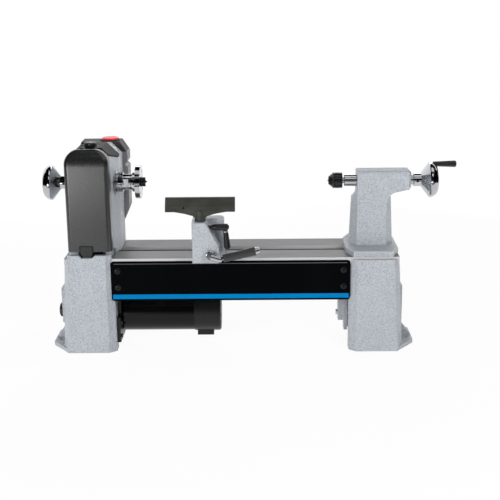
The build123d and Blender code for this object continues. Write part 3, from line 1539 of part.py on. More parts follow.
# Quill with its live centre, and the screw and handwheel that drive it
quill = rod_x(quill_left_x, quill_left_x + quill_length, quill_diameter)
quill = chamfer(quill.edges().group_by(Axis.X)[0], 1)
shank_end_x = live_head_right_x + live_shank_length
quill -= rod_x(quill_left_x - 1, shank_end_x + 1, live_shank_diameter)
quill -= rod_x(shank_end_x, quill_left_x + quill_length + 1, leadscrew_diameter + 2 * running_gap)
nodes["quill"] = quill
live_pin_x = live_head_left_x + 4
live_shank = rod_x(live_head_right_x + loose_gap, shank_end_x, live_shank_diameter)
nodes["live_centre_shank"] = live_shank + rod_x(live_pin_x, shank_end_x, live_pin_diameter)
live_head = live_head_diameter / 2
live_bore = live_pin_diameter / 2 + running_gap
nodes["live_centre"] = turned_x([
    (live_tip_x, 0),
    (live_tip_x + 2.5, live_point_diameter / 2),
    (live_tip_x + 2.5, live_nose_diameter / 2 - 1),
    (live_tip_x + 3.5, live_nose_diameter / 2),
    (live_head_left_x, live_head - 2),
    (live_head_left_x + 1, live_head),
    (live_head_right_x - 1, live_head),
    (live_head_right_x, live_head - 1),
    (live_head_right_x, live_bore),
    (live_pin_x - loose_gap, live_bore),
    (live_pin_x - loose_gap, 0),
])
screw_end_x = tail_wheel_hub_x + wheel_hub_length + wheel_wall
screw = leadscrew_diameter / 2
nodes["leadscrew"] = turned_x([
    (leadscrew_left_x, 0),
    (leadscrew_left_x, screw),
    (tail_barrel_end_x + loose_gap, screw),
    (tail_barrel_end_x + loose_gap, screw + 4),
    (tail_wheel_hub_x, screw + 4),
    (tail_wheel_hub_x, spindle_wheel_diameter / 2),
    (screw_end_x, spindle_wheel_diameter / 2),
    (screw_end_x, 0),
])
crank_z = spindle_z + crank_radius
crank_x = tail_wheel_hub_x + crank_start
tail_wheel = make_wheel(tail_wheel_hub_x, 1)
tail_wheel -= rod_x(crank_x, crank_x + 30, crank_root_diameter + 2, 0, crank_z)
tail_wheel -= rod_x(crank_x - 6, crank_x + 1, crank_pin_diameter, 0, crank_z)
nodes["tail_handwheel"] = tail_wheel
pin_end_x = crank_x + crank_length - 5
nodes["crank_pin"] = rod_x(crank_x - 6, pin_end_x, crank_pin_diameter, 0, crank_z)
handle_x = crank_x + loose_gap
handle_end_x = crank_x + crank_length
nodes["crank_handle"] = turned_x([
    (handle_x, crank_pin_diameter / 2 + running_gap),
    (handle_x, crank_root_diameter / 2),
    (handle_end_x - 2, crank_end_diameter / 2),
    (handle_end_x, crank_end_diameter / 2 - 2),
    (handle_end_x, 0),
    (pin_end_x + loose_gap, 0),
    (pin_end_x + loose_gap, crank_pin_diameter / 2 + running_gap),
], 0, crank_z)


# One file for each piece
os.makedirs("parts", exist_ok=True)
for name, shape in nodes.items():
    solids = shape if isinstance(shape, list) else [shape]
    pieces = [solid for item in solids for solid in item.solids()]
    whole = pieces[0] if len(pieces) == 1 else Compound(children=pieces)
    export_step(whole, f"parts/{name}.step")
    print(name, len(pieces), round(sum(piece.volume for piece in pieces)))
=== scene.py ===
import json
import math

import bmesh
import bpy
from mathutils import Matrix, Vector


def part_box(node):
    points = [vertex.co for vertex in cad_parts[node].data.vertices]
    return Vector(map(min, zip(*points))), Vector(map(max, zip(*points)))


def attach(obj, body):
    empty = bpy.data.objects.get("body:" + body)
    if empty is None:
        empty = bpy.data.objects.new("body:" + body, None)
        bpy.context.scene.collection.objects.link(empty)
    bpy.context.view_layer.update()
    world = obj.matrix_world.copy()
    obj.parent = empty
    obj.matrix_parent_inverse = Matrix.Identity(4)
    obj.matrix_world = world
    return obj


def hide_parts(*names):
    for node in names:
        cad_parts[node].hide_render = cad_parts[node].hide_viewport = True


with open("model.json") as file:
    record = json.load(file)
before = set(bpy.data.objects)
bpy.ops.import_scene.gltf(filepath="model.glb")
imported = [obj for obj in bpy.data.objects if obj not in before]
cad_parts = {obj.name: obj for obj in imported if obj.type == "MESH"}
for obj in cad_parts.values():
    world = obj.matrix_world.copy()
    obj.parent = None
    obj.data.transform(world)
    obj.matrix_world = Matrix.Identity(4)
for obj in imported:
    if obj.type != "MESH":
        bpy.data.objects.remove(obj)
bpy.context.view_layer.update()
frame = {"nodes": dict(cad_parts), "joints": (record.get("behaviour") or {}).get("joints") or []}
nodes = frame["nodes"]
scene = bpy.context.scene
MM = 0.001

# Places taken from the frame
joint_places = {joint["name"]: Vector(joint["pos_m"]) for joint in frame["joints"] if "pos_m" in joint}
spindle_line = joint_places["spindle_spin"]


def corners(node):
    """A node's lowest and highest corners."""
    return [Vector(corner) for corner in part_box(node)]


def middle(node):
    low, high = corners(node)
    return (low + high) / 2


def on_spindle(x):
    """The point of the spindle's line at one x."""
    return Vector((x, spindle_line.y, spindle_line.z))


# Camera at the photograph's place, from a fit of the lathe's known points
CAMERA_PLACE = Vector((0.05907, -2.15170, 0.83162))
CAMERA_YAW = math.radians(-0.47)
CAMERA_PITCH = math.radians(13.61)
CAMERA_ROLL = math.radians(-0.54)
FOCAL_PIXELS = 967
IMAGE_PIXELS = 500
SENSOR_MM = 36
CAMERA_SHIFT_Y = -0.08


def make_camera():
    data = bpy.data.cameras.new("camera")
    data.sensor_width = SENSOR_MM
    data.lens = SENSOR_MM * FOCAL_PIXELS / IMAGE_PIXELS
    data.shift_y = CAMERA_SHIFT_Y
    camera = bpy.data.objects.new("camera", data)
    scene.collection.objects.link(camera)
    ahead = Vector((
        math.sin(CAMERA_YAW) * math.cos(CAMERA_PITCH),
        math.cos(CAMERA_YAW) * math.cos(CAMERA_PITCH),
        -math.sin(CAMERA_PITCH),
    ))
    level = Vector((math.cos(CAMERA_YAW), -math.sin(CAMERA_YAW), 0))
    upright = level.cross(ahead)
    right = math.cos(CAMERA_ROLL) * level + math.sin(CAMERA_ROLL) * upright
    up = math.cos(CAMERA_ROLL) * upright - math.sin(CAMERA_ROLL) * level
    turn = Matrix((right, up, -ahead)).transposed()
    camera.matrix_world = Matrix.Translation(CAMERA_PLACE) @ turn.to_4x4()
    scene.camera = camera


make_camera()


# Materials
class Paint:
    """A material with one principled shader, and short ways to add texture nodes to it."""

    def __init__(self, name):
        self.material = bpy.data.materials.new(name)
        self.material.use_nodes = True
        self.tree = self.material.node_tree
        self.shader = self.tree.nodes["Principled BSDF"]
        self.place = self.add("ShaderNodeTexCoord").outputs["Object"]

    def add(self, kind, **settings):
        node = self.tree.nodes.new(kind)
        for key, value in settings.items():
            setattr(node, key, value)
        return node

    def link(self, source, target):
        self.tree.links.new(source, target)

    def feed(self, value, socket):
        """Put a number, a colour or another node's output into a socket."""
        if isinstance(value, bpy.types.NodeSocket):
            self.link(value, socket)
        elif isinstance(value, tuple):
            socket.default_value = (*value, 1)
        else:
            socket.default_value = value

    def set(self, **values):
        """Feed the shader's own sockets, named with _ for each space."""
        for key, value in values.items():
            self.feed(value, self.shader.inputs[key.replace("_", " ")])
        return self

    def stretched(self, scale):
        mapping = self.add("ShaderNodeMapping")
        mapping.inputs["Scale"].default_value = scale
        self.link(self.place, mapping.inputs["Vector"])
        return mapping.outputs["Vector"]

    def noise(self, scale, detail=3.0, stretch=None):
        node = self.add("ShaderNodeTexNoise")
        node.inputs["Scale"].default_value = scale
        node.inputs["Detail"].default_value = detail
        self.link(self.stretched(stretch) if stretch else self.place, node.inputs["Vector"])
        return node.outputs["Fac"]

    def cells(self, scale, smooth):
        node = self.add("ShaderNodeTexVoronoi", feature="SMOOTH_F1")
        node.inputs["Scale"].default_value = scale
        node.inputs["Smoothness"].default_value = smooth
        self.link(self.place, node.inputs["Vector"])
        return node.outputs["Distance"]

    def ramp(self, factor, low, high, start=0.0, end=1.0):
        """A value that goes smoothly from low to high while the factor goes from start to end."""
        node = self.add("ShaderNodeMapRange", interpolation_type="SMOOTHSTEP")
        node.inputs["From Min"].default_value = start
        node.inputs["From Max"].default_value = end
        node.inputs["To Min"].default_value = low
        node.inputs["To Max"].default_value = high
        self.link(factor, node.inputs["Value"])
        return node.outputs["Result"]

    def math(self, operation, *values):
        node = self.add("ShaderNodeMath", operation=operation)
        for value, socket in zip(values, node.inputs):
            self.feed(value, socket)
        return node.outputs["Value"]

    def mix(self, factor, *colours):
        """The first colour where the factor is 0 and the second where it is 1."""
        node = self.add("ShaderNodeMix", data_type="RGBA")
        self.link(factor, node.inputs["Factor"])
        sockets = [socket for socket in node.inputs if socket.type == "RGBA"]
        for colour, socket in zip(colours, sockets):
            self.feed(colour, socket)
        return next(socket for socket in node.outputs if socket.type == "RGBA")

    def split(self, vector):
        node = self.add("ShaderNodeSeparateXYZ")
        self.link(vector, node.inputs["Vector"])
        return node.outputs

    def facing(self):
        """The surface's own direction, without bumps."""
        return self.add("ShaderNodeNewGeometry").outputs["Normal"]

    def rounded(self, width, samples):
        """The surface's direction with the sharp edges rounded off."""
        node = self.add("ShaderNodeBevel", samples=samples)
        node.inputs["Radius"].default_value = width
        return node.outputs["Normal"]

    def soften(self, width):
        """Round the light over sharp edges, as a casting's small radii do."""
        self.link(self.rounded(width, samples=6), self.shader.inputs["Normal"])
        return self

    def edges(self, width):
        """How near a sharp edge is, from 0 on a flat face to 1 on the edge."""
        dot = self.add("ShaderNodeVectorMath", operation="DOT_PRODUCT")
        self.link(self.rounded(width, samples=4), dot.inputs[0])
        self.link(self.facing(), dot.inputs[1])
        return self.ramp(dot.outputs["Value"], 1.0, 0.0, 0.80, 0.99)

    def bump(self, height, strength, distance):
        """Add relief on top of what already shapes the surface's light."""
        node = self.add("ShaderNodeBump")
        node.inputs["Strength"].default_value = strength
        node.inputs["Distance"].default_value = distance
        normal = self.shader.inputs["Normal"]
        if normal.is_linked:
            self.link(normal.links[0].from_socket, node.inputs["Normal"])
        self.link(height, node.inputs["Height"])
        self.link(node.outputs["Normal"], normal)
        return self


def scaled(colour, share):
    return tuple(channel * share for channel in colour)


# Hammertone paint on the castings: a pebbled film, with a painted highlight along the edges
FILM_PALE = (0.478, 0.506, 0.541)
FILM_DARK = (0.318, 0.34, 0.37)
FILM_CLOUD = (0.51, 0.56, 0.61)
# Colour of the painted highlight along the castings' edges
PAINTED_EDGE_HIGHLIGHT = (0.74, 0.76, 0.79)


def hammertone():
    paint = Paint("hammertone").soften(1.6 * MM)
    pebbles = paint.math("ADD", paint.cells(480, 0.65), paint.noise(340, 3.0))
    waves = paint.noise(120, 2.0)
    shade = paint.mix(paint.ramp(pebbles, 0, 1, 0.70, 1.30), FILM_PALE, FILM_DARK)
    cloud = paint.ramp(paint.noise(14, 3.0), 0, 0.10, 0.35, 0.70)
    film = paint.mix(cloud, shade, FILM_CLOUD)
    # Painted highlight: a paler colour mixed in near every sharp edge, standing for the light the edges
    # catch
    edge = paint.ramp(paint.edges(1.0 * MM), 0, 0.45)
    paint.set(
        Base_Color=paint.mix(edge, film, PAINTED_EDGE_HIGHLIGHT),
        Roughness=paint.ramp(pebbles, 0.34, 0.48, 0.5, 1.5),
        Metallic=0.12,
    )
    paint.bump(pebbles, 0.9, 1.1 * MM)
    paint.bump(waves, 0.10, 1.2 * MM)
    return paint.material


# The bed: ground iron on the ways and in the slot, a painted highlight on its front edge, painted casting
# below
IRON_DARK = (0.13, 0.129, 0.133)
IRON_PALE = (0.184, 0.182, 0.189)
IRON_STAIN = (0.113, 0.111, 0.115)
# Colour of the painted highlight on the front-facing strip of the bed's top edge
PAINTED_RIM_HIGHLIGHT = (0.49, 0.49, 0.50)
BED_FILM_PALE = (0.53, 0.565, 0.60)
BED_FILM_DARK = (0.43, 0.465, 0.50)
WAY_HEIGHT = 17 * MM
WAY_EDGE_HEIGHT = 7.5 * MM
SLOT_HALF_WIDTH = 18.5 * MM


def ground_ways():
    paint = Paint("ground_ways")
    bed_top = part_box("bed")[1][2]
    place = paint.split(paint.place)
    facing = paint.split(paint.facing())
    streak = paint.noise(900, 4.0, (0.02, 1.0, 1.0))
    stain = paint.noise(22, 4.0, (0.5, 1.4, 1.0))
    iron = paint.mix(paint.ramp(streak, 0, 1, 0.3, 0.7), IRON_DARK, IRON_PALE)
    iron = paint.mix(paint.ramp(stain, 0, 0.55, 0.42, 0.75), iron, IRON_STAIN)
    pebbles = paint.ramp(paint.cells(330, 0.9), 0, 1, 0.15, 0.65)
    film = paint.mix(pebbles, BED_FILM_PALE, BED_FILM_DARK)
    way_foot = bed_top - WAY_HEIGHT
    high = paint.ramp(place["Z"], 0, 1, way_foot, way_foot + 1.5 * MM)
    upward = paint.ramp(facing["Z"], 0, 1, 0.80, 0.95)
    from_middle = paint.math("ABSOLUTE", place["Y"])
    slot = paint.ramp(from_middle, 1, 0, SLOT_HALF_WIDTH, SLOT_HALF_WIDTH + 0.5 * MM)
    ground = paint.math("MULTIPLY", high, paint.math("MAXIMUM", upward, slot))
    # Painted highlight: the front-facing strip just under the bed's top is coloured far paler than the iron
    edge_foot = bed_top - WAY_EDGE_HEIGHT
    edge = paint.ramp(place["Z"], 0, 1, edge_foot, edge_foot + 0.3 * MM)
    frontward = paint.ramp(facing["Y"], 1, 0, -0.9, -0.5)
    iron_and_rim_highlight = paint.mix(paint.math("MULTIPLY", edge, frontward), iron, PAINTED_RIM_HIGHLIGHT)
    polish = paint.math("MULTIPLY", ground, -0.02)
    paint.set(
        Base_Color=paint.mix(paint.math("MAXIMUM", ground, edge), film, iron_and_rim_highlight),
        Metallic=paint.math("MULTIPLY", ground, 0.22),
        Roughness=paint.math("ADD", polish, paint.ramp(streak, 0.36, 0.46)),
        Specular_IOR_Level=0.25,
    )
    paint.bump(streak, 0.10, 0.2 * MM)
    return paint.material


# Gloss paint with a faint orange peel
def gloss_paint(name, colour, roughness, grain, specular=0.5):
    paint = Paint(name)
    peel = paint.noise(grain, 2.0)
    drift = paint.ramp(paint.noise(9, 2.0), 0, 1, 0.35, 0.75)
    paint.set(
        Base_Color=paint.mix(drift, colour, scaled(colour, 1.5)),
        Roughness=paint.ramp(peel, roughness - 0.04, roughness + 0.06),
        Specular_IOR_Level=specular,
    )
    paint.bump(peel, 0.03, 0.3 * MM)
    return paint.material


STRIPE_DARK = (0.0005, 0.167, 0.42)
STRIPE_PALE = (0.0005, 0.184, 0.455)


def stripe_paint():
    paint = Paint("stripe_paint")
    peel = paint.noise(260, 2.0)
    drift = paint.ramp(paint.noise(12), 0, 1)
    paint.set(
        Base_Color=paint.mix(drift, STRIPE_DARK, STRIPE_PALE),
        Roughness=paint.ramp(peel, 0.28, 0.36),
        Specular_IOR_Level=0.03,
    )
    paint.bump(peel, 0.04, 0.2 * MM)
    return paint.material


# Bright or blackened metal with faint turning rings about the spindle's line
def turned_metal(name, colour, roughness, ring, strength, metallic=1.0):
    paint = Paint(name)
    rings = paint.noise(ring, 2.0, (1.0, 0.03, 0.03))
    smear = paint.noise(30, 3.0)
    dull = paint.ramp(smear, 0, 1, 0.35, 0.75)
    paint.set(
        Base_Color=paint.mix(dull, colour, scaled(colour, 0.86)),
        Roughness=paint.ramp(smear, roughness, roughness + 0.07, 0.3, 0.8),
        Metallic=metallic,
    )
    paint.bump(rings, strength, 0.1 * MM)
    return paint.material


# Moulded plastic, and other finishes with an even fine grain
def moulded(name, colour, roughness, grain=1100, strength=0.12, specular=0.5):
    paint = Paint(name)
    spark = paint.noise(grain, 2.0)
    drift = paint.ramp(paint.noise(16, 3.0), 0, 1, 0.3, 0.75)
    paint.set(
        Base_Color=paint.mix(drift, colour, scaled(colour, 1.3)),
        Roughness=paint.ramp(spark, roughness - 0.05, roughness + 0.06),
        Specular_IOR_Level=specular,
    )
    paint.bump(spark, strength, 0.15 * MM)
    return paint.material


# Control box: grey moulding with a darker lid
BOX_GREY = (0.235, 0.23, 0.247)
BOX_PALE = (0.28, 0.274, 0.292)
BOX_LID = (0.050, 0.048, 0.052)
BOX_LID_HEIGHT = 25.5 * MM


def box_plastic():
    paint = Paint("box_plastic")
    spark = paint.noise(1100, 2.0)
    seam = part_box("control_box")[1][2] - BOX_LID_HEIGHT
    lid = paint.ramp(paint.split(paint.place)["Z"], 0, 1, seam, seam + 0.3 * MM)
    drift = paint.ramp(paint.noise(16, 3.0), 0, 1, 0.3, 0.75)
    paint.set(
        Base_Color=paint.mix(lid, paint.mix(drift, BOX_GREY, BOX_PALE), BOX_LID),
        Roughness=paint.ramp(spark, 0.45, 0.56),
        Specular_IOR_Level=0.15,
    )
    paint.bump(spark, 0.12, 0.15 * MM)
    return paint.material


# Dark cast iron of the tool rest: warm black skin, worn bright on its edges
REST_SKIN = (0.038, 0.039, 0.034)
REST_SKIN_PALE = (0.068, 0.070, 0.061)
REST_EDGE = (0.19, 0.19, 0.18)


def rest_iron():
    paint = Paint("rest_iron")
    sand = paint.noise(420, 4.0)
    stain = paint.ramp(paint.noise(26, 4.0, (0.6, 1.0, 1.0)), 0, 1, 0.3, 0.75)
    worn = paint.ramp(paint.edges(0.8 * MM), 0, 0.6)
    paint.set(
        Base_Color=paint.mix(worn, paint.mix(stain, REST_SKIN, REST_SKIN_PALE), REST_EDGE),
        Roughness=paint.ramp(sand, 0.42, 0.6),
        Metallic=0.45,
    )
    paint.bump(sand, 0.2, 0.3 * MM)
    return paint.material


def circuit_board():
    paint = Paint("circuit_board").set(Roughness=0.4)
    tracks = paint.add("ShaderNodeTexBrick")
    paint.feed(90, tracks.inputs["Scale"])
    paint.feed((0.02, 0.14, 0.06), tracks.inputs["Color1"])
    paint.feed((0.03, 0.18, 0.08), tracks.inputs["Color2"])
    paint.feed((0.10, 0.28, 0.13), tracks.inputs["Mortar"])
    paint.link(paint.place, tracks.inputs["Vector"])
    return paint.set(Base_Color=tracks.outputs["Color"]).material


chrome = turned_metal("polished_chrome", (0.53, 0.54, 0.56), 0.09, ring=1800, strength=0.02)
steel = turned_metal("machined_steel", (0.52, 0.52, 0.53), 0.24, ring=2400, strength=0.08)
alloy = turned_metal("turned_alloy", (0.66, 0.67, 0.69), 0.28, ring=2000, strength=0.10)
black_oxide = turned_metal(
    "black_oxide", (0.022, 0.022, 0.024), 0.20, ring=2000, strength=0.04, metallic=0.6,
)
black_zinc = moulded("black_zinc", (0.005, 0.0052, 0.0055), 0.24, grain=900, strength=0.04, specular=0.22)
# Paler paint for the painted highlight strip along the panel's upper edge
bend_highlight_paint = moulded("bend_highlight_paint", (0.060, 0.063, 0.064), 0.36, grain=420, strength=0.03, specular=0.3)
motor_paint = gloss_paint("motor_paint", (0.0016, 0.0017, 0.0019), 0.17, grain=700, specular=0.22)
cap_plastic = moulded("cap_plastic", (0.006, 0.0062, 0.0066), 0.36, grain=900, strength=0.06, specular=0.3)
panel_paint = gloss_paint("panel_paint", (0.0010, 0.0014, 0.0018), 0.30, grain=420, specular=0.02)
raw_casting = moulded("raw_casting", (0.16, 0.16, 0.165), 0.62, grain=500, strength=0.3)
belt_rubber = moulded("belt_rubber", (0.010, 0.010, 0.010), 0.70, grain=900, strength=0.2)
door_plastic = moulded(
    "door_plastic", (0.008, 0.0083, 0.0086), 0.27, grain=1300, strength=0.08, specular=1.0,
)
latch_plastic = moulded("latch_plastic", (0.020, 0.0215, 0.0215), 0.42, specular=0.25)
grip_rubber = moulded("grip_rubber", (0.024, 0.0245, 0.025), 0.40, grain=900, strength=0.08)
grip_plastic = moulded("grip_plastic", (0.007, 0.007, 0.0075), 0.30, grain=900, strength=0.06)
housing_plastic = moulded("housing_plastic", (0.008, 0.008, 0.0085), 0.42, specular=0.06)
stop_red = gloss_paint("stop_red", (0.62, 0.022, 0.045), 0.30, grain=500)
mark_paint = moulded("mark_paint", (0.62, 0.62, 0.60), 0.5)
LOOKS = {
    hammertone(): ["left_leg", "right_leg", "headstock", "banjo", "tailstock", "side_door"],
    ground_ways(): ["bed"],
    panel_paint: ["front_panel"],
    stripe_paint(): ["panel_stripe"],
    motor_paint: ["motor_bell", "motor_can"],
    cap_plastic: ["motor_plate", "motor_cap"],
    black_zinc: ["panel_screws"],
    black_oxide: ["spur_centre", "live_centre", "motor_screws"],
    chrome: ["spindle", "faceplate", "spindle_handwheel", "tail_handwheel", "banjo_lever", "quill"],
    steel: [
        "leadscrew", "rest_post", "live_centre_shank", "crank_pin", "banjo_clamp_stud", "tail_clamp_stud",
        "frame_bolts", "door_hinge_pins", "side_door_pin", "bearing_cap",
        "bearing_inner_rings", "bearing_outer_rings", "motor_rotor", "motor_bearings",
    ],
    alloy: ["spindle_pulley", "motor_pulley"],
    raw_casting: ["banjo_clamp_plate", "tail_clamp_plate", "motor_magnets"],
    rest_iron(): ["tool_rest"],
    belt_rubber: ["drive_belt", "bearing_seals"],
    door_plastic: ["belt_door"],
    latch_plastic: ["door_latch"],
    grip_rubber: ["banjo_lever_grip"],
    grip_plastic: [
        "rest_lock_handle", "crank_handle", "tail_clamp_lever", "quill_lock_handle",
        "side_door_knob", "speed_knob", "direction_switch", "cord_gland",
    ],
    box_plastic(): ["control_box"],
    housing_plastic: ["control_housing"],
    stop_red: ["stop_button"],
    circuit_board(): ["controller_board"],
}
for look, names in LOOKS.items():
    for name in names:
        nodes[name].data.materials.clear()
        nodes[name].data.materials.append(look)


# Mesh pieces
SMOOTH_ANGLE = math.radians(32)
BRICK_ROUND_SHARE = 0.25
WELD_DISTANCE = 0.001 * MM


def spin(bm, outline, place, axis, steps=96):
    """Turn an outline of (along, radius) points about an axis through a place."""
    axis = Vector(axis).normalized()
    side = axis.orthogonal().normalized()
    points = [bm.verts.new(Vector(place) + axis * along + side * radius) for along, radius in outline]
    lines = [bm.edges.new(pair) for pair in zip(points, points[1:])]
    bmesh.ops.spin(
        bm, geom=points + lines, cent=place, axis=axis, angle=2 * math.pi, steps=steps, use_merge=True,
    )


def brick(bm, centre, size, turn=None):
    """A small block with rounded edges."""
    grid = Matrix.Translation(centre) @ (turn or Matrix()) @ Matrix.Diagonal((*size, 1))
    made = bmesh.ops.create_cube(bm, size=1, matrix=grid)["verts"]
    edges = {edge for vert in made for edge in vert.link_edges}
    round_size = min(size) * BRICK_ROUND_SHARE
    bmesh.ops.bevel(bm, geom=list(edges), offset=round_size, segments=2, affect="EDGES", clamp_overlap=True)


def bend(t, before, start, end, after):
    """One coordinate of a smooth curve from start to end, drawn by the points on either side."""
    slope = end - before
    curl = 2 * before - 5 * start + 4 * end - after
    twist = 3 * start - before - 3 * end + after
    return 0.5 * (2 * start + slope * t + curl * t * t + twist * t ** 3)


def curve_through(points, steps=6):
    """Points of a smooth curve through a few given ones."""
    padded = [points[0], *points, points[-1]]
    curve = []
    for four in zip(padded, padded[1:], padded[2:], padded[3:]):
        for step in range(steps):
            curve.append(tuple(bend(step / steps, *values) for values in zip(*four)))
    return [*curve, points[-1]]


def solid(name, bm):
    """An object from a finished mesh."""
    bmesh.ops.remove_doubles(bm, verts=bm.verts, dist=WELD_DISTANCE)
    bmesh.ops.recalc_face_normals(bm, faces=bm.faces)
    mesh = bpy.data.meshes.new(name)
    bm.to_mesh(mesh)
    bm.free()
    made = bpy.data.objects.new(name, mesh)
    scene.collection.objects.link(made)
    return made


def carve(piece, cutter):
    """Cut one mesh out of another and drop the cutter."""
    cut = piece.modifiers.new("cut", "BOOLEAN")
    cut.object = cutter
    cut.solver = "EXACT"
    cut.use_self = True
    shape = piece.evaluated_get(bpy.context.evaluated_depsgraph_get())
    piece.data = bpy.data.meshes.new_from_object(shape)
    piece.modifiers.clear()
    bpy.data.objects.remove(cutter)


def fit(made, body, slot, look, *replaced):
    """Give a piece its finish and the body that carries it."""
    made.data.materials.clear()
    made.data.materials.append(look)
    for face in made.data.polygons:
        face.use_smooth = True
    made.data.set_sharp_from_angle(angle=SMOOTH_ANGLE)
    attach(made, body)
    if replaced:
        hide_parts(*replaced)


# Handwheels: a straight hub with a set screw, a cone and a fat rounded rim round a dished face
WHEEL_HUB_RADIUS = 15 * MM
WHEEL_BORE_RADIUS = 9.1 * MM
WHEEL_RIM_RADIUS = 40 * MM
WHEEL_HUB_LENGTH = 17 * MM
WHEEL_HUB_CHAMFER = 0.8 * MM
WHEEL_CROWN = 36 * MM
WHEEL_END = 54 * MM
WHEEL_DISH = WHEEL_HUB_LENGTH + 5 * MM
SET_SCREW_RADIUS = 2.9 * MM
SET_SCREW_LENGTH = 5 * MM
SET_SCREW_CHAMFER = 0.3 * MM
SET_SCREW_SOCKET_RADIUS = 1.5 * MM
SET_SCREW_SOCKET_DEPTH = 2 * MM
SET_SCREW_SOCKET_TIP = 2.6 * MM
SET_SCREW_GAP = 0.3 * MM
SET_SCREW_DEPTH = 0.9 * MM


def set_screw(name, head, outward, body):
    """A socket screw whose flat end lies a little inside its hole."""
    shank = [
        (-SET_SCREW_LENGTH, 0),
        (-SET_SCREW_LENGTH, SET_SCREW_RADIUS),
        (-SET_SCREW_CHAMFER, SET_SCREW_RADIUS),
        (0, SET_SCREW_RADIUS - SET_SCREW_CHAMFER),
        (0, SET_SCREW_SOCKET_RADIUS),
    ]
    hexagon = [
        (0, SET_SCREW_SOCKET_RADIUS),
        (-SET_SCREW_SOCKET_DEPTH, SET_SCREW_SOCKET_RADIUS),
        (-SET_SCREW_SOCKET_TIP, 0),
    ]
    bm = bmesh.new()
    spin(bm, shank, head, outward, 32)
    spin(bm, hexagon, head, outward, 6)
    fit(solid(name, bm), body, "black_steel", black_oxide)


def screw_hole(mouth, outward):
    """A cutter from the hub's middle out past its skin."""
    radius = SET_SCREW_RADIUS + SET_SCREW_GAP
    past = 1 * MM
    outline = [
        (-WHEEL_HUB_RADIUS, 0),
        (-WHEEL_HUB_RADIUS, radius),
        (past, radius),
        (past, 0),
    ]
    bm = bmesh.new()
    spin(bm, outline, mouth, outward, 40)
    return solid("set_screw_hole", bm)


def handwheel(node, body, inner_x, side):
    rim = curve_through([
        (WHEEL_CROWN - 4 * MM, WHEEL_RIM_RADIUS - 5.2 * MM),
        (WHEEL_CROWN - 0.5 * MM, WHEEL_RIM_RADIUS - 0.7 * MM),
        (WHEEL_CROWN + 4 * MM, WHEEL_RIM_RADIUS),
        (WHEEL_END - 8 * MM, WHEEL_RIM_RADIUS - 2.5 * MM),
        (WHEEL_END - 2.5 * MM, WHEEL_RIM_RADIUS - 7 * MM),
        (WHEEL_END, WHEEL_RIM_RADIUS - 12 * MM),
        (WHEEL_END - 2.5 * MM, WHEEL_RIM_RADIUS - 15.5 * MM),
        (WHEEL_END - 9 * MM, WHEEL_RIM_RADIUS - 15.5 * MM),
        (WHEEL_DISH + 7 * MM, WHEEL_HUB_RADIUS),
        (WHEEL_DISH, WHEEL_HUB_RADIUS - 3 * MM),
    ])
    outline = [
        (0, WHEEL_BORE_RADIUS),
        (0, WHEEL_HUB_RADIUS - WHEEL_HUB_CHAMFER),
        (WHEEL_HUB_CHAMFER, WHEEL_HUB_RADIUS),
        (WHEEL_HUB_LENGTH, WHEEL_HUB_RADIUS),
        *rim,
        (WHEEL_DISH, WHEEL_BORE_RADIUS),
        (0, WHEEL_BORE_RADIUS),
    ]
    bm = bmesh.new()
    spin(bm, outline, on_spindle(inner_x), (side, 0, 0))
    wheel = solid(f"{node}_rim", bm)
    outward = Vector((0, -1, 0))
    mouth = on_spindle(inner_x + side * WHEEL_HUB_LENGTH / 2) + outward * WHEEL_HUB_RADIUS
    carve(wheel, screw_hole(mouth, outward))
    fit(wheel, body, "bright_chrome", chrome, node)
    set_screw(f"{node}_set_screw", mouth - outward * SET_SCREW_DEPTH, outward, body)


handwheel("spindle_handwheel", "spindle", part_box("spindle_handwheel")[1][0], -1)
handwheel("tail_handwheel", "tail_screw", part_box("tail_handwheel")[0][0], 1)


# Spindle nose: painted shade, black bands round its collar and its shoulder standing for the dark lines of
# shade there
COLLAR_START = 1.3 * MM
COLLAR_RADIUS = 22.5 * MM
SHOULDER_RADIUS = 19 * MM
LINE_WIDTH = 0.9 * MM
LINE_DEPTH = 0.5 * MM
LINE_PROUD = 0.06 * MM
NOSE_LINES = (
    (2.5 * MM, COLLAR_RADIUS),
    (6.0 * MM, COLLAR_RADIUS),
    (7.8 * MM, COLLAR_RADIUS),
    (27.5 * MM, SHOULDER_RADIUS),
)


def nose_lines():
    start = on_spindle(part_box("headstock")[1][0] + COLLAR_START)
    bm = bmesh.new()
    for along, radius in NOSE_LINES:
        inner = radius - LINE_DEPTH
        outer = radius + LINE_PROUD
        end = along + LINE_WIDTH
        band = [(along, inner), (along, outer), (end, outer), (end, inner), (along, inner)]
        spin(bm, band, start, (1, 0, 0))
    # Painted shade: the bands take the black finish
    fit(solid("spindle_groove_shade", bm), "spindle", "black_steel", black_oxide)


nose_lines()


# Panel screws: broad black heads with a cross recess
SCREW_HEAD_RADIUS = 7.6 * MM
SCREW_HEAD_HEIGHT = 3.2 * MM
SCREW_CAD_HEAD_RADIUS = 5 * MM
CROSS_LENGTH = 7 * MM
CROSS_WIDTH = 1.6 * MM
CROSS_DEPTH = 2 * MM


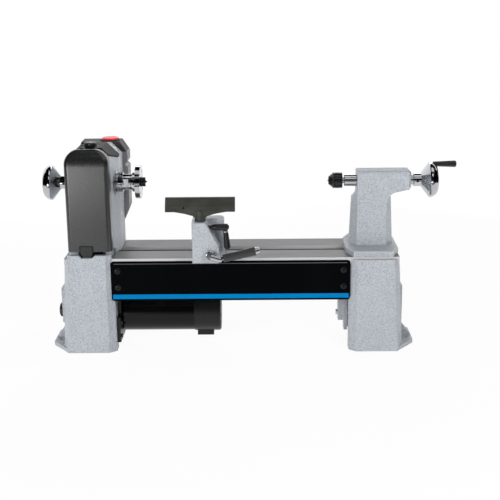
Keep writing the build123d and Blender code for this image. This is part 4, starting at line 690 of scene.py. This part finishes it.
def panel_screws():
    low, high = corners("panel_screws")
    face_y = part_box("front_panel")[0][1]
    dome = curve_through([
        (0.4 * MM, SCREW_HEAD_RADIUS),
        (1.5 * MM, SCREW_HEAD_RADIUS * 0.93),
        (2.6 * MM, SCREW_HEAD_RADIUS * 0.7),
        (SCREW_HEAD_HEIGHT, SCREW_HEAD_RADIUS * 0.3),
        (SCREW_HEAD_HEIGHT, 0),
    ], 4)
    heads = bmesh.new()
    crosses = bmesh.new()
    for x in (low.x + SCREW_CAD_HEAD_RADIUS, high.x - SCREW_CAD_HEAD_RADIUS):
        for z in (low.z + SCREW_CAD_HEAD_RADIUS, high.z - SCREW_CAD_HEAD_RADIUS):
            place = Vector((x, face_y, z))
            spin(heads, [(0, 0), (0, SCREW_HEAD_RADIUS), *dome], place, (0, -1, 0), 40)
            for turn in (45, 135):
                tilt = Matrix.Rotation(math.radians(turn), 4, "Y")
                crown = place - Vector((0, SCREW_HEAD_HEIGHT, 0))
                brick(crosses, crown, (CROSS_LENGTH, 2 * CROSS_DEPTH, CROSS_WIDTH), tilt)
    screws = solid("panel_screw_heads", heads)
    carve(screws, solid("cross_recess", crosses))
    fit(screws, "frame", "black_steel", black_zinc, "panel_screws")


panel_screws()


# Painted highlight on the panel's bent upper edge: a low raised strip along it, painted paler than the
# panel
HIGHLIGHT_STRIP_INSET = 7 * MM
HIGHLIGHT_STRIP_DROP = 5.5 * MM
HIGHLIGHT_STRIP_SIZE = 1.8 * MM


def painted_bend_highlight():
    low, high = corners("front_panel")
    centre = Vector(((low.x + high.x) / 2, low.y, high.z - HIGHLIGHT_STRIP_DROP))
    bm = bmesh.new()
    brick(bm, centre, (high.x - low.x - 2 * HIGHLIGHT_STRIP_INSET, HIGHLIGHT_STRIP_SIZE / 2, HIGHLIGHT_STRIP_SIZE))
    # Painted highlight: the strip takes the paler paint
    fit(solid("painted_bend_highlight", bm), "frame", "panel_paint", bend_highlight_paint)


painted_bend_highlight()


# Live centre: a turned head with two grooves and a blunt cone, bored for its shank
CENTRE_TIP = 2.5 * MM
CENTRE_FACE_RADIUS = 8.5 * MM
CENTRE_CONE_END = 11.6 * MM
CENTRE_SHOULDER = 15 * MM
CENTRE_GROOVE_WIDTH = 1.8 * MM
CENTRE_GROOVE_DEPTH = 1.2 * MM
CENTRE_GROOVE_SLOPE = 0.4 * MM
CENTRE_REAR_LAND = 6 * MM
CENTRE_CHAMFER = 1 * MM
CENTRE_BORE_RADIUS = 5.3 * MM
CENTRE_BORE_DEPTH = 10 * MM


def live_centre():
    low, high = corners("live_centre")
    head = (high.z - low.z) / 2
    length = high.x - low.x
    outline = [
        (0, 0),
        (CENTRE_TIP, CENTRE_TIP),
        (CENTRE_TIP, CENTRE_FACE_RADIUS),
        (CENTRE_TIP + CENTRE_CHAMFER, CENTRE_FACE_RADIUS + CENTRE_CHAMFER),
        (CENTRE_CONE_END, head - 2 * CENTRE_CHAMFER),
        (CENTRE_CONE_END + CENTRE_CHAMFER, head),
        (CENTRE_SHOULDER, head),
    ]
    for groove in (CENTRE_SHOULDER, length - CENTRE_REAR_LAND):
        end = groove + CENTRE_GROOVE_WIDTH
        floor = head - CENTRE_GROOVE_DEPTH
        outline += [
            (groove, head),
            (groove + CENTRE_GROOVE_SLOPE, floor),
            (end - CENTRE_GROOVE_SLOPE, floor),
            (end, head),
        ]
    outline += [
        (length - CENTRE_CHAMFER, head),
        (length, head - CENTRE_CHAMFER),
        (length, CENTRE_BORE_RADIUS),
        (length - CENTRE_BORE_DEPTH, CENTRE_BORE_RADIUS),
    ]
    bm = bmesh.new()
    spin(bm, outline, on_spindle(low.x), (1, 0, 0), 80)
    fit(solid("live_centre_head", bm), "live_centre", "black_steel", black_oxide, "live_centre")


live_centre()


# Knobs: grip ribs round the edge, and for the speed knob a pointer on its top and plain marks round it
KNOB_RIBS = 24
KNOB_RIB_DEPTH = 1.0 * MM
KNOB_RIB_WIDTH = 1.3 * MM
SPEED_RIB_LENGTH = 6 * MM
SPEED_RIB_HEIGHT = 3.9 * MM
POINTER_WIDTH = 1.4 * MM
POINTER_THICKNESS = 0.5 * MM
POINTER_MIDDLE_SHARE = 0.45
POINTER_LENGTH_SHARE = 0.7
DIAL_MARKS = 11
DIAL_SWEEP = 270
DIAL_GAP = 2.4 * MM
DIAL_LONG_EACH = 5
DIAL_LONG = 4 * MM
DIAL_SHORT = 2.6 * MM
DIAL_WIDTH = 0.9 * MM
DIAL_THICKNESS = 0.3 * MM
SIDE_KNOB_RADIUS = 16 * MM
SIDE_RIB_LENGTH = 3.6 * MM
SIDE_RIB_INSET = 4.4 * MM


def knob_ribs(name, node, axis, radius, along, length):
    """Grip ribs round a knob's edge, with their middles at one height along its axis."""
    axis = Vector(axis)
    upright = axis.orthogonal().normalized()
    stance = Matrix((upright, axis.cross(upright), axis)).transposed().to_4x4()
    centre = middle(node)
    centre += axis * (along - axis.dot(centre))
    size = (KNOB_RIB_DEPTH, KNOB_RIB_WIDTH, length)
    bm = bmesh.new()
    for step in range(KNOB_RIBS):
        turn = Matrix.Rotation(2 * math.pi * step / KNOB_RIBS, 4, axis)
        brick(bm, centre + turn @ (upright * radius), size, turn @ stance)
    fit(solid(name, bm), node, "grip_plastic", grip_plastic)


def speed_dial():
    low, high = corners("speed_knob")
    centre = middle("speed_knob")
    radius = (high.x - low.x) / 2
    panel_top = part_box("control_housing")[1][2]
    rib_z = panel_top + SPEED_RIB_HEIGHT
    knob_ribs("speed_knob_ribs", "speed_knob", (0, 0, 1), radius, rib_z, SPEED_RIB_LENGTH)
    pointer = bmesh.new()
    pointer_place = (centre.x, centre.y + radius * POINTER_MIDDLE_SHARE, high.z)
    brick(pointer, pointer_place, (POINTER_WIDTH, radius * POINTER_LENGTH_SHARE, POINTER_THICKNESS))
    fit(solid("speed_knob_pointer", pointer), "speed_knob", "grey_plastic", mark_paint)
    marks = bmesh.new()
    for step in range(DIAL_MARKS):
        angle = math.radians(DIAL_SWEEP * (step / (DIAL_MARKS - 1) - 0.5))
        length = DIAL_SHORT if step % DIAL_LONG_EACH else DIAL_LONG
        out = Vector((-math.sin(angle), math.cos(angle), 0))
        place = Vector((centre.x, centre.y, panel_top)) + out * (radius + DIAL_GAP + length / 2)
        brick(marks, place, (DIAL_WIDTH, length, DIAL_THICKNESS), Matrix.Rotation(angle, 4, "Z"))
    fit(solid("speed_marks", marks), "frame", "grey_plastic", mark_paint)


speed_dial()
side_rib_along = -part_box("side_door_knob")[0][0] - SIDE_RIB_INSET
knob_ribs("side_knob_ribs", "side_door_knob", (-1, 0, 0), SIDE_KNOB_RADIUS, side_rib_along, SIDE_RIB_LENGTH)


# Rest lock: ribs down its lever, which widens to its end, and a bright collar at its waist
LOCK_LEAN = math.radians(5)
LOCK_LEVER_X = -12.5 * MM
LOCK_LEVER_LENGTH = 50 * MM
LOCK_RIBS = 8
LOCK_RIB_WIDTH = 1.5 * MM
LOCK_RIB_DEPTH = 1.0 * MM
LOCK_RIB_LENGTH = LOCK_LEVER_LENGTH - 17 * MM
LOCK_RIB_MIDDLE = LOCK_LEVER_LENGTH / 2 + 5 * MM
LOCK_RIB_RADIUS = 6 * MM
LOCK_FLARE = 1.6 * MM
LOCK_FLARE_LENGTH = LOCK_LEVER_LENGTH - 16 * MM
LOCK_COLLAR_START = 8 * MM
LOCK_COLLAR_END = 12 * MM
LOCK_COLLAR_INNER = 4.4 * MM
LOCK_COLLAR_SHOULDER = 5.4 * MM
LOCK_COLLAR_OUTER = 5.9 * MM
LOCK_COLLAR_SLOPE = 0.6 * MM


def rest_lock_dress():
    pivot = joint_places["rest_lock_turn"]
    top = Vector((LOCK_LEVER_X, pivot.y, pivot.z))
    down = Vector((math.sin(LOCK_LEAN), 0, -math.cos(LOCK_LEAN)))
    flare = math.atan2(LOCK_FLARE, LOCK_FLARE_LENGTH)
    ribs = bmesh.new()
    for step in range(LOCK_RIBS):
        out = Matrix.Rotation(2 * math.pi * step / LOCK_RIBS, 4, down) @ Vector((0, 1, 0))
        along = (down * math.cos(flare) + out * math.sin(flare)).normalized()
        across = along.cross(out).normalized()
        stance = Matrix((across, along.cross(across), along)).transposed().to_4x4()
        centre = top + down * LOCK_RIB_MIDDLE + out * LOCK_RIB_RADIUS
        brick(ribs, centre, (LOCK_RIB_WIDTH, LOCK_RIB_DEPTH, LOCK_RIB_LENGTH), stance)
    fit(solid("rest_lock_ribs", ribs), "rest_lock", "grip_plastic", grip_plastic)
    collar = bmesh.new()
    outline = [
        (LOCK_COLLAR_START, LOCK_COLLAR_INNER),
        (LOCK_COLLAR_START, LOCK_COLLAR_SHOULDER),
        (LOCK_COLLAR_START + LOCK_COLLAR_SLOPE, LOCK_COLLAR_OUTER),
        (LOCK_COLLAR_END - LOCK_COLLAR_SLOPE, LOCK_COLLAR_OUTER),
        (LOCK_COLLAR_END, LOCK_COLLAR_SHOULDER),
        (LOCK_COLLAR_END, LOCK_COLLAR_INNER),
        (LOCK_COLLAR_START, LOCK_COLLAR_INNER),
    ]
    spin(collar, outline, top, down, 40)
    fit(solid("rest_lock_collar", collar), "rest_lock", "bare_steel", steel)


rest_lock_dress()


# Studio: a white floor and world, soft lamps, and cards that only reflections see
FLOOR_SIZE = 40
FLOOR_GLOW = 0.94
FADE_NEAR = 0.75
FADE_FAR = 1.5
WORLD_LIGHT = 0.16
WORLD_GLOW = 1.2
LATHE_MIDDLE = (0, 0, 0.25)
STUDIO_SIDE = 2.2
STUDIO_FRONT = -3.0
STUDIO_DEPTH = 3.8
STUDIO_HEIGHT = 1.7
STRIP_LEFT = -0.42
STRIP_LENGTH = 1.9
STRIP_HEIGHT = 1.65
FRONT_STRIP_Y = -2.0
FRONT_STRIP_WIDTH = 0.9
SECOND_STRIP_Y = -0.6
SECOND_STRIP_WIDTH = 0.7
LOW_CARD_HEIGHT = 0.4
LOW_CARD_GAP = 0.05
FLOOR_CARD_NEAR = -0.9
FLOOR_CARD_FAR = -1.5
FLOOR_CARD_HEIGHT = 2 * MM


def floor_paint():
    """White to the eye and in reflections, with a share of the lathe's shadow near it."""
    paint = Paint("floor").set(Base_Color=(0.92, 0.92, 0.92), Roughness=0.9, Specular_IOR_Level=0.0)
    length = paint.add("ShaderNodeVectorMath", operation="LENGTH")
    paint.link(paint.place, length.inputs[0])
    far = paint.ramp(length.outputs["Value"], 0, 1, FADE_NEAR, FADE_FAR)
    rays = paint.add("ShaderNodeLightPath").outputs
    seen = paint.math("MAXIMUM", rays["Is Camera Ray"], rays["Is Glossy Ray"])
    glow = paint.add("ShaderNodeEmission")
    blend = paint.add("ShaderNodeMixShader")
    share = paint.math("MAXIMUM", far, FLOOR_GLOW)
    paint.link(paint.math("MULTIPLY", share, seen), blend.inputs["Fac"])
    paint.link(paint.shader.outputs["BSDF"], blend.inputs[1])
    paint.link(glow.outputs["Emission"], blend.inputs[2])
    paint.link(blend.outputs["Shader"], paint.tree.nodes["Material Output"].inputs["Surface"])
    return paint.material


def sheet(name, corner, across, along, paint):
    """A flat four-cornered piece of the studio."""
    corner, across, along = (Vector(part) for part in (corner, across, along))
    mesh = bpy.data.meshes.new(name)
    mesh.from_pydata([corner, corner + across, corner + across + along, corner + along], [], [(0, 1, 2, 3)])
    mesh.materials.append(paint)
    made = bpy.data.objects.new(name, mesh)
    scene.collection.objects.link(made)
    return made


def card(name, corner, across, along, paint):
    """A studio card that only reflections see."""
    made = sheet(name, corner, across, along, paint)
    made.visible_camera = False
    made.visible_diffuse = False
    made.visible_shadow = False


def glowing(name, strength):
    paint = Paint(name).set(Base_Color=(0.0, 0.0, 0.0), Specular_IOR_Level=0.0)
    return paint.set(Emission_Color=(1.0, 1.0, 1.0), Emission_Strength=strength).material


def make_world():
    """White to the eye and in reflections, and a dim even light for everything else."""
    world = bpy.data.worlds.new("studio")
    scene.world = world
    world.use_nodes = True
    tree = world.node_tree

    def larger(first, second):
        node = tree.nodes.new("ShaderNodeMath")
        node.operation = "MAXIMUM"
        tree.links.new(first, node.inputs[0])
        tree.links.new(second, node.inputs[1])
        return node.outputs["Value"]

    rays = tree.nodes.new("ShaderNodeLightPath").outputs
    mirrored = larger(rays["Is Glossy Ray"], rays["Is Transmission Ray"])
    strength = tree.nodes.new("ShaderNodeMapRange")
    strength.inputs["To Min"].default_value = WORLD_LIGHT
    strength.inputs["To Max"].default_value = WORLD_GLOW
    tree.links.new(larger(rays["Is Camera Ray"], mirrored), strength.inputs["Value"])
    background = tree.nodes["Background"]
    background.inputs["Color"].default_value = (1, 1, 1, 1)
    tree.links.new(strength.outputs["Result"], background.inputs["Strength"])


def lamp(name, place, target, size, watts, mirrored=False):
    data = bpy.data.lights.new(name, "AREA")
    data.shape = "RECTANGLE"
    data.size, data.size_y = size
    data.energy = watts
    light = bpy.data.objects.new(name, data)
    scene.collection.objects.link(light)
    light.location = place
    light.rotation_euler = (Vector(target) - Vector(place)).to_track_quat("-Z", "Y").to_euler()
    light.visible_glossy = mirrored
    return light


def make_lamps():
    lamp("key", (-1.5, -2.3, 0.85), LATHE_MIDDLE, (1.0, 1.0), 47)
    lamp("fill", (1.8, -2.0, 0.75), LATHE_MIDDLE, (1.0, 1.0), 9)
    spark = lamp("spark", (-1.2, -2.0, 0.15), (-0.1, 0, 0.25), (0.8, 0.3), 6.3, mirrored=True)
    spark.visible_diffuse = False
    lamp("tail", (0.9, -1.2, 1.0), (0.32, 0, 0.40), (0.4, 0.4), 9.5)
    over = lamp("over", (0.55, 0.35, 1.3), (-0.27, 0.05, 0.45), (0.3, 0.3), 0.25)
    over.data.spread = math.radians(24)
    lamp("low", (-0.86, -1.6, 0.08), (-0.4, 0, 0.35), (0.72, 0.14), 1.2, mirrored=True)
    lamp("back", (0.3, 1.8, 1.6), (0, 0, 0.2), (1.6, 0.8), 8, mirrored=True)
    lamp("rear", (-0.4, 2.4, 0.9), LATHE_MIDDLE, (1.2, 1.0), 26)
    lamp("left", (-2.4, 0.3, 0.7), (-0.3, 0, 0.25), (1.0, 1.0), 13)
    lamp("right", (2.4, 0.3, 0.5), (0.4, 0, 0.15), (1.0, 1.0), 6)


def make_cards():
    black = Paint("black_card").set(Base_Color=(0.002, 0.002, 0.002), Specular_IOR_Level=0.0).material
    grey = glowing("grey_card", 0.4)
    pale = glowing("pale_card", 0.62)
    white = glowing("white_card", 1.1)
    wide = (2 * STUDIO_SIDE, 0, 0)
    deep = (0, STUDIO_DEPTH, 0)
    tall = (0, 0, STUDIO_HEIGHT)
    strip = (STRIP_LENGTH, 0, 0)
    near_left = (-STUDIO_SIDE, STUDIO_FRONT, 0)
    card("card_top", (-STUDIO_SIDE, STUDIO_FRONT, STUDIO_HEIGHT), wide, (0, 2 * STUDIO_SIDE, 0), black)
    card("card_front", near_left, wide, tall, black)
    card("card_strip", (STRIP_LEFT, FRONT_STRIP_Y, STRIP_HEIGHT), strip, (0, FRONT_STRIP_WIDTH, 0), white)
    second_strip = (STRIP_LEFT, SECOND_STRIP_Y, STRIP_HEIGHT)
    card("card_second_strip", second_strip, strip, (0, SECOND_STRIP_WIDTH, 0), white)
    card("card_left", near_left, deep, tall, black)
    card("card_right", (STUDIO_SIDE, STUDIO_FRONT, 0), deep, tall, black)
    near = (-STUDIO_SIDE, FLOOR_CARD_NEAR, FLOOR_CARD_HEIGHT)
    card("card_near", near, wide, (0, FLOOR_CARD_FAR - FLOOR_CARD_NEAR, 0), black)
    far = (-STUDIO_SIDE, FLOOR_CARD_FAR, FLOOR_CARD_HEIGHT)
    card("card_far", far, wide, (0, STUDIO_FRONT - FLOOR_CARD_FAR, 0), pale)
    card("card_low", (-STUDIO_SIDE, STUDIO_FRONT + LOW_CARD_GAP, 0), wide, (0, 0, LOW_CARD_HEIGHT), grey)


scene.view_settings.view_transform = "Standard"
sheet("floor", (-FLOOR_SIZE / 2, -FLOOR_SIZE / 2, 0), (FLOOR_SIZE, 0, 0), (0, FLOOR_SIZE, 0), floor_paint())
make_world()
make_lamps()
make_cards()
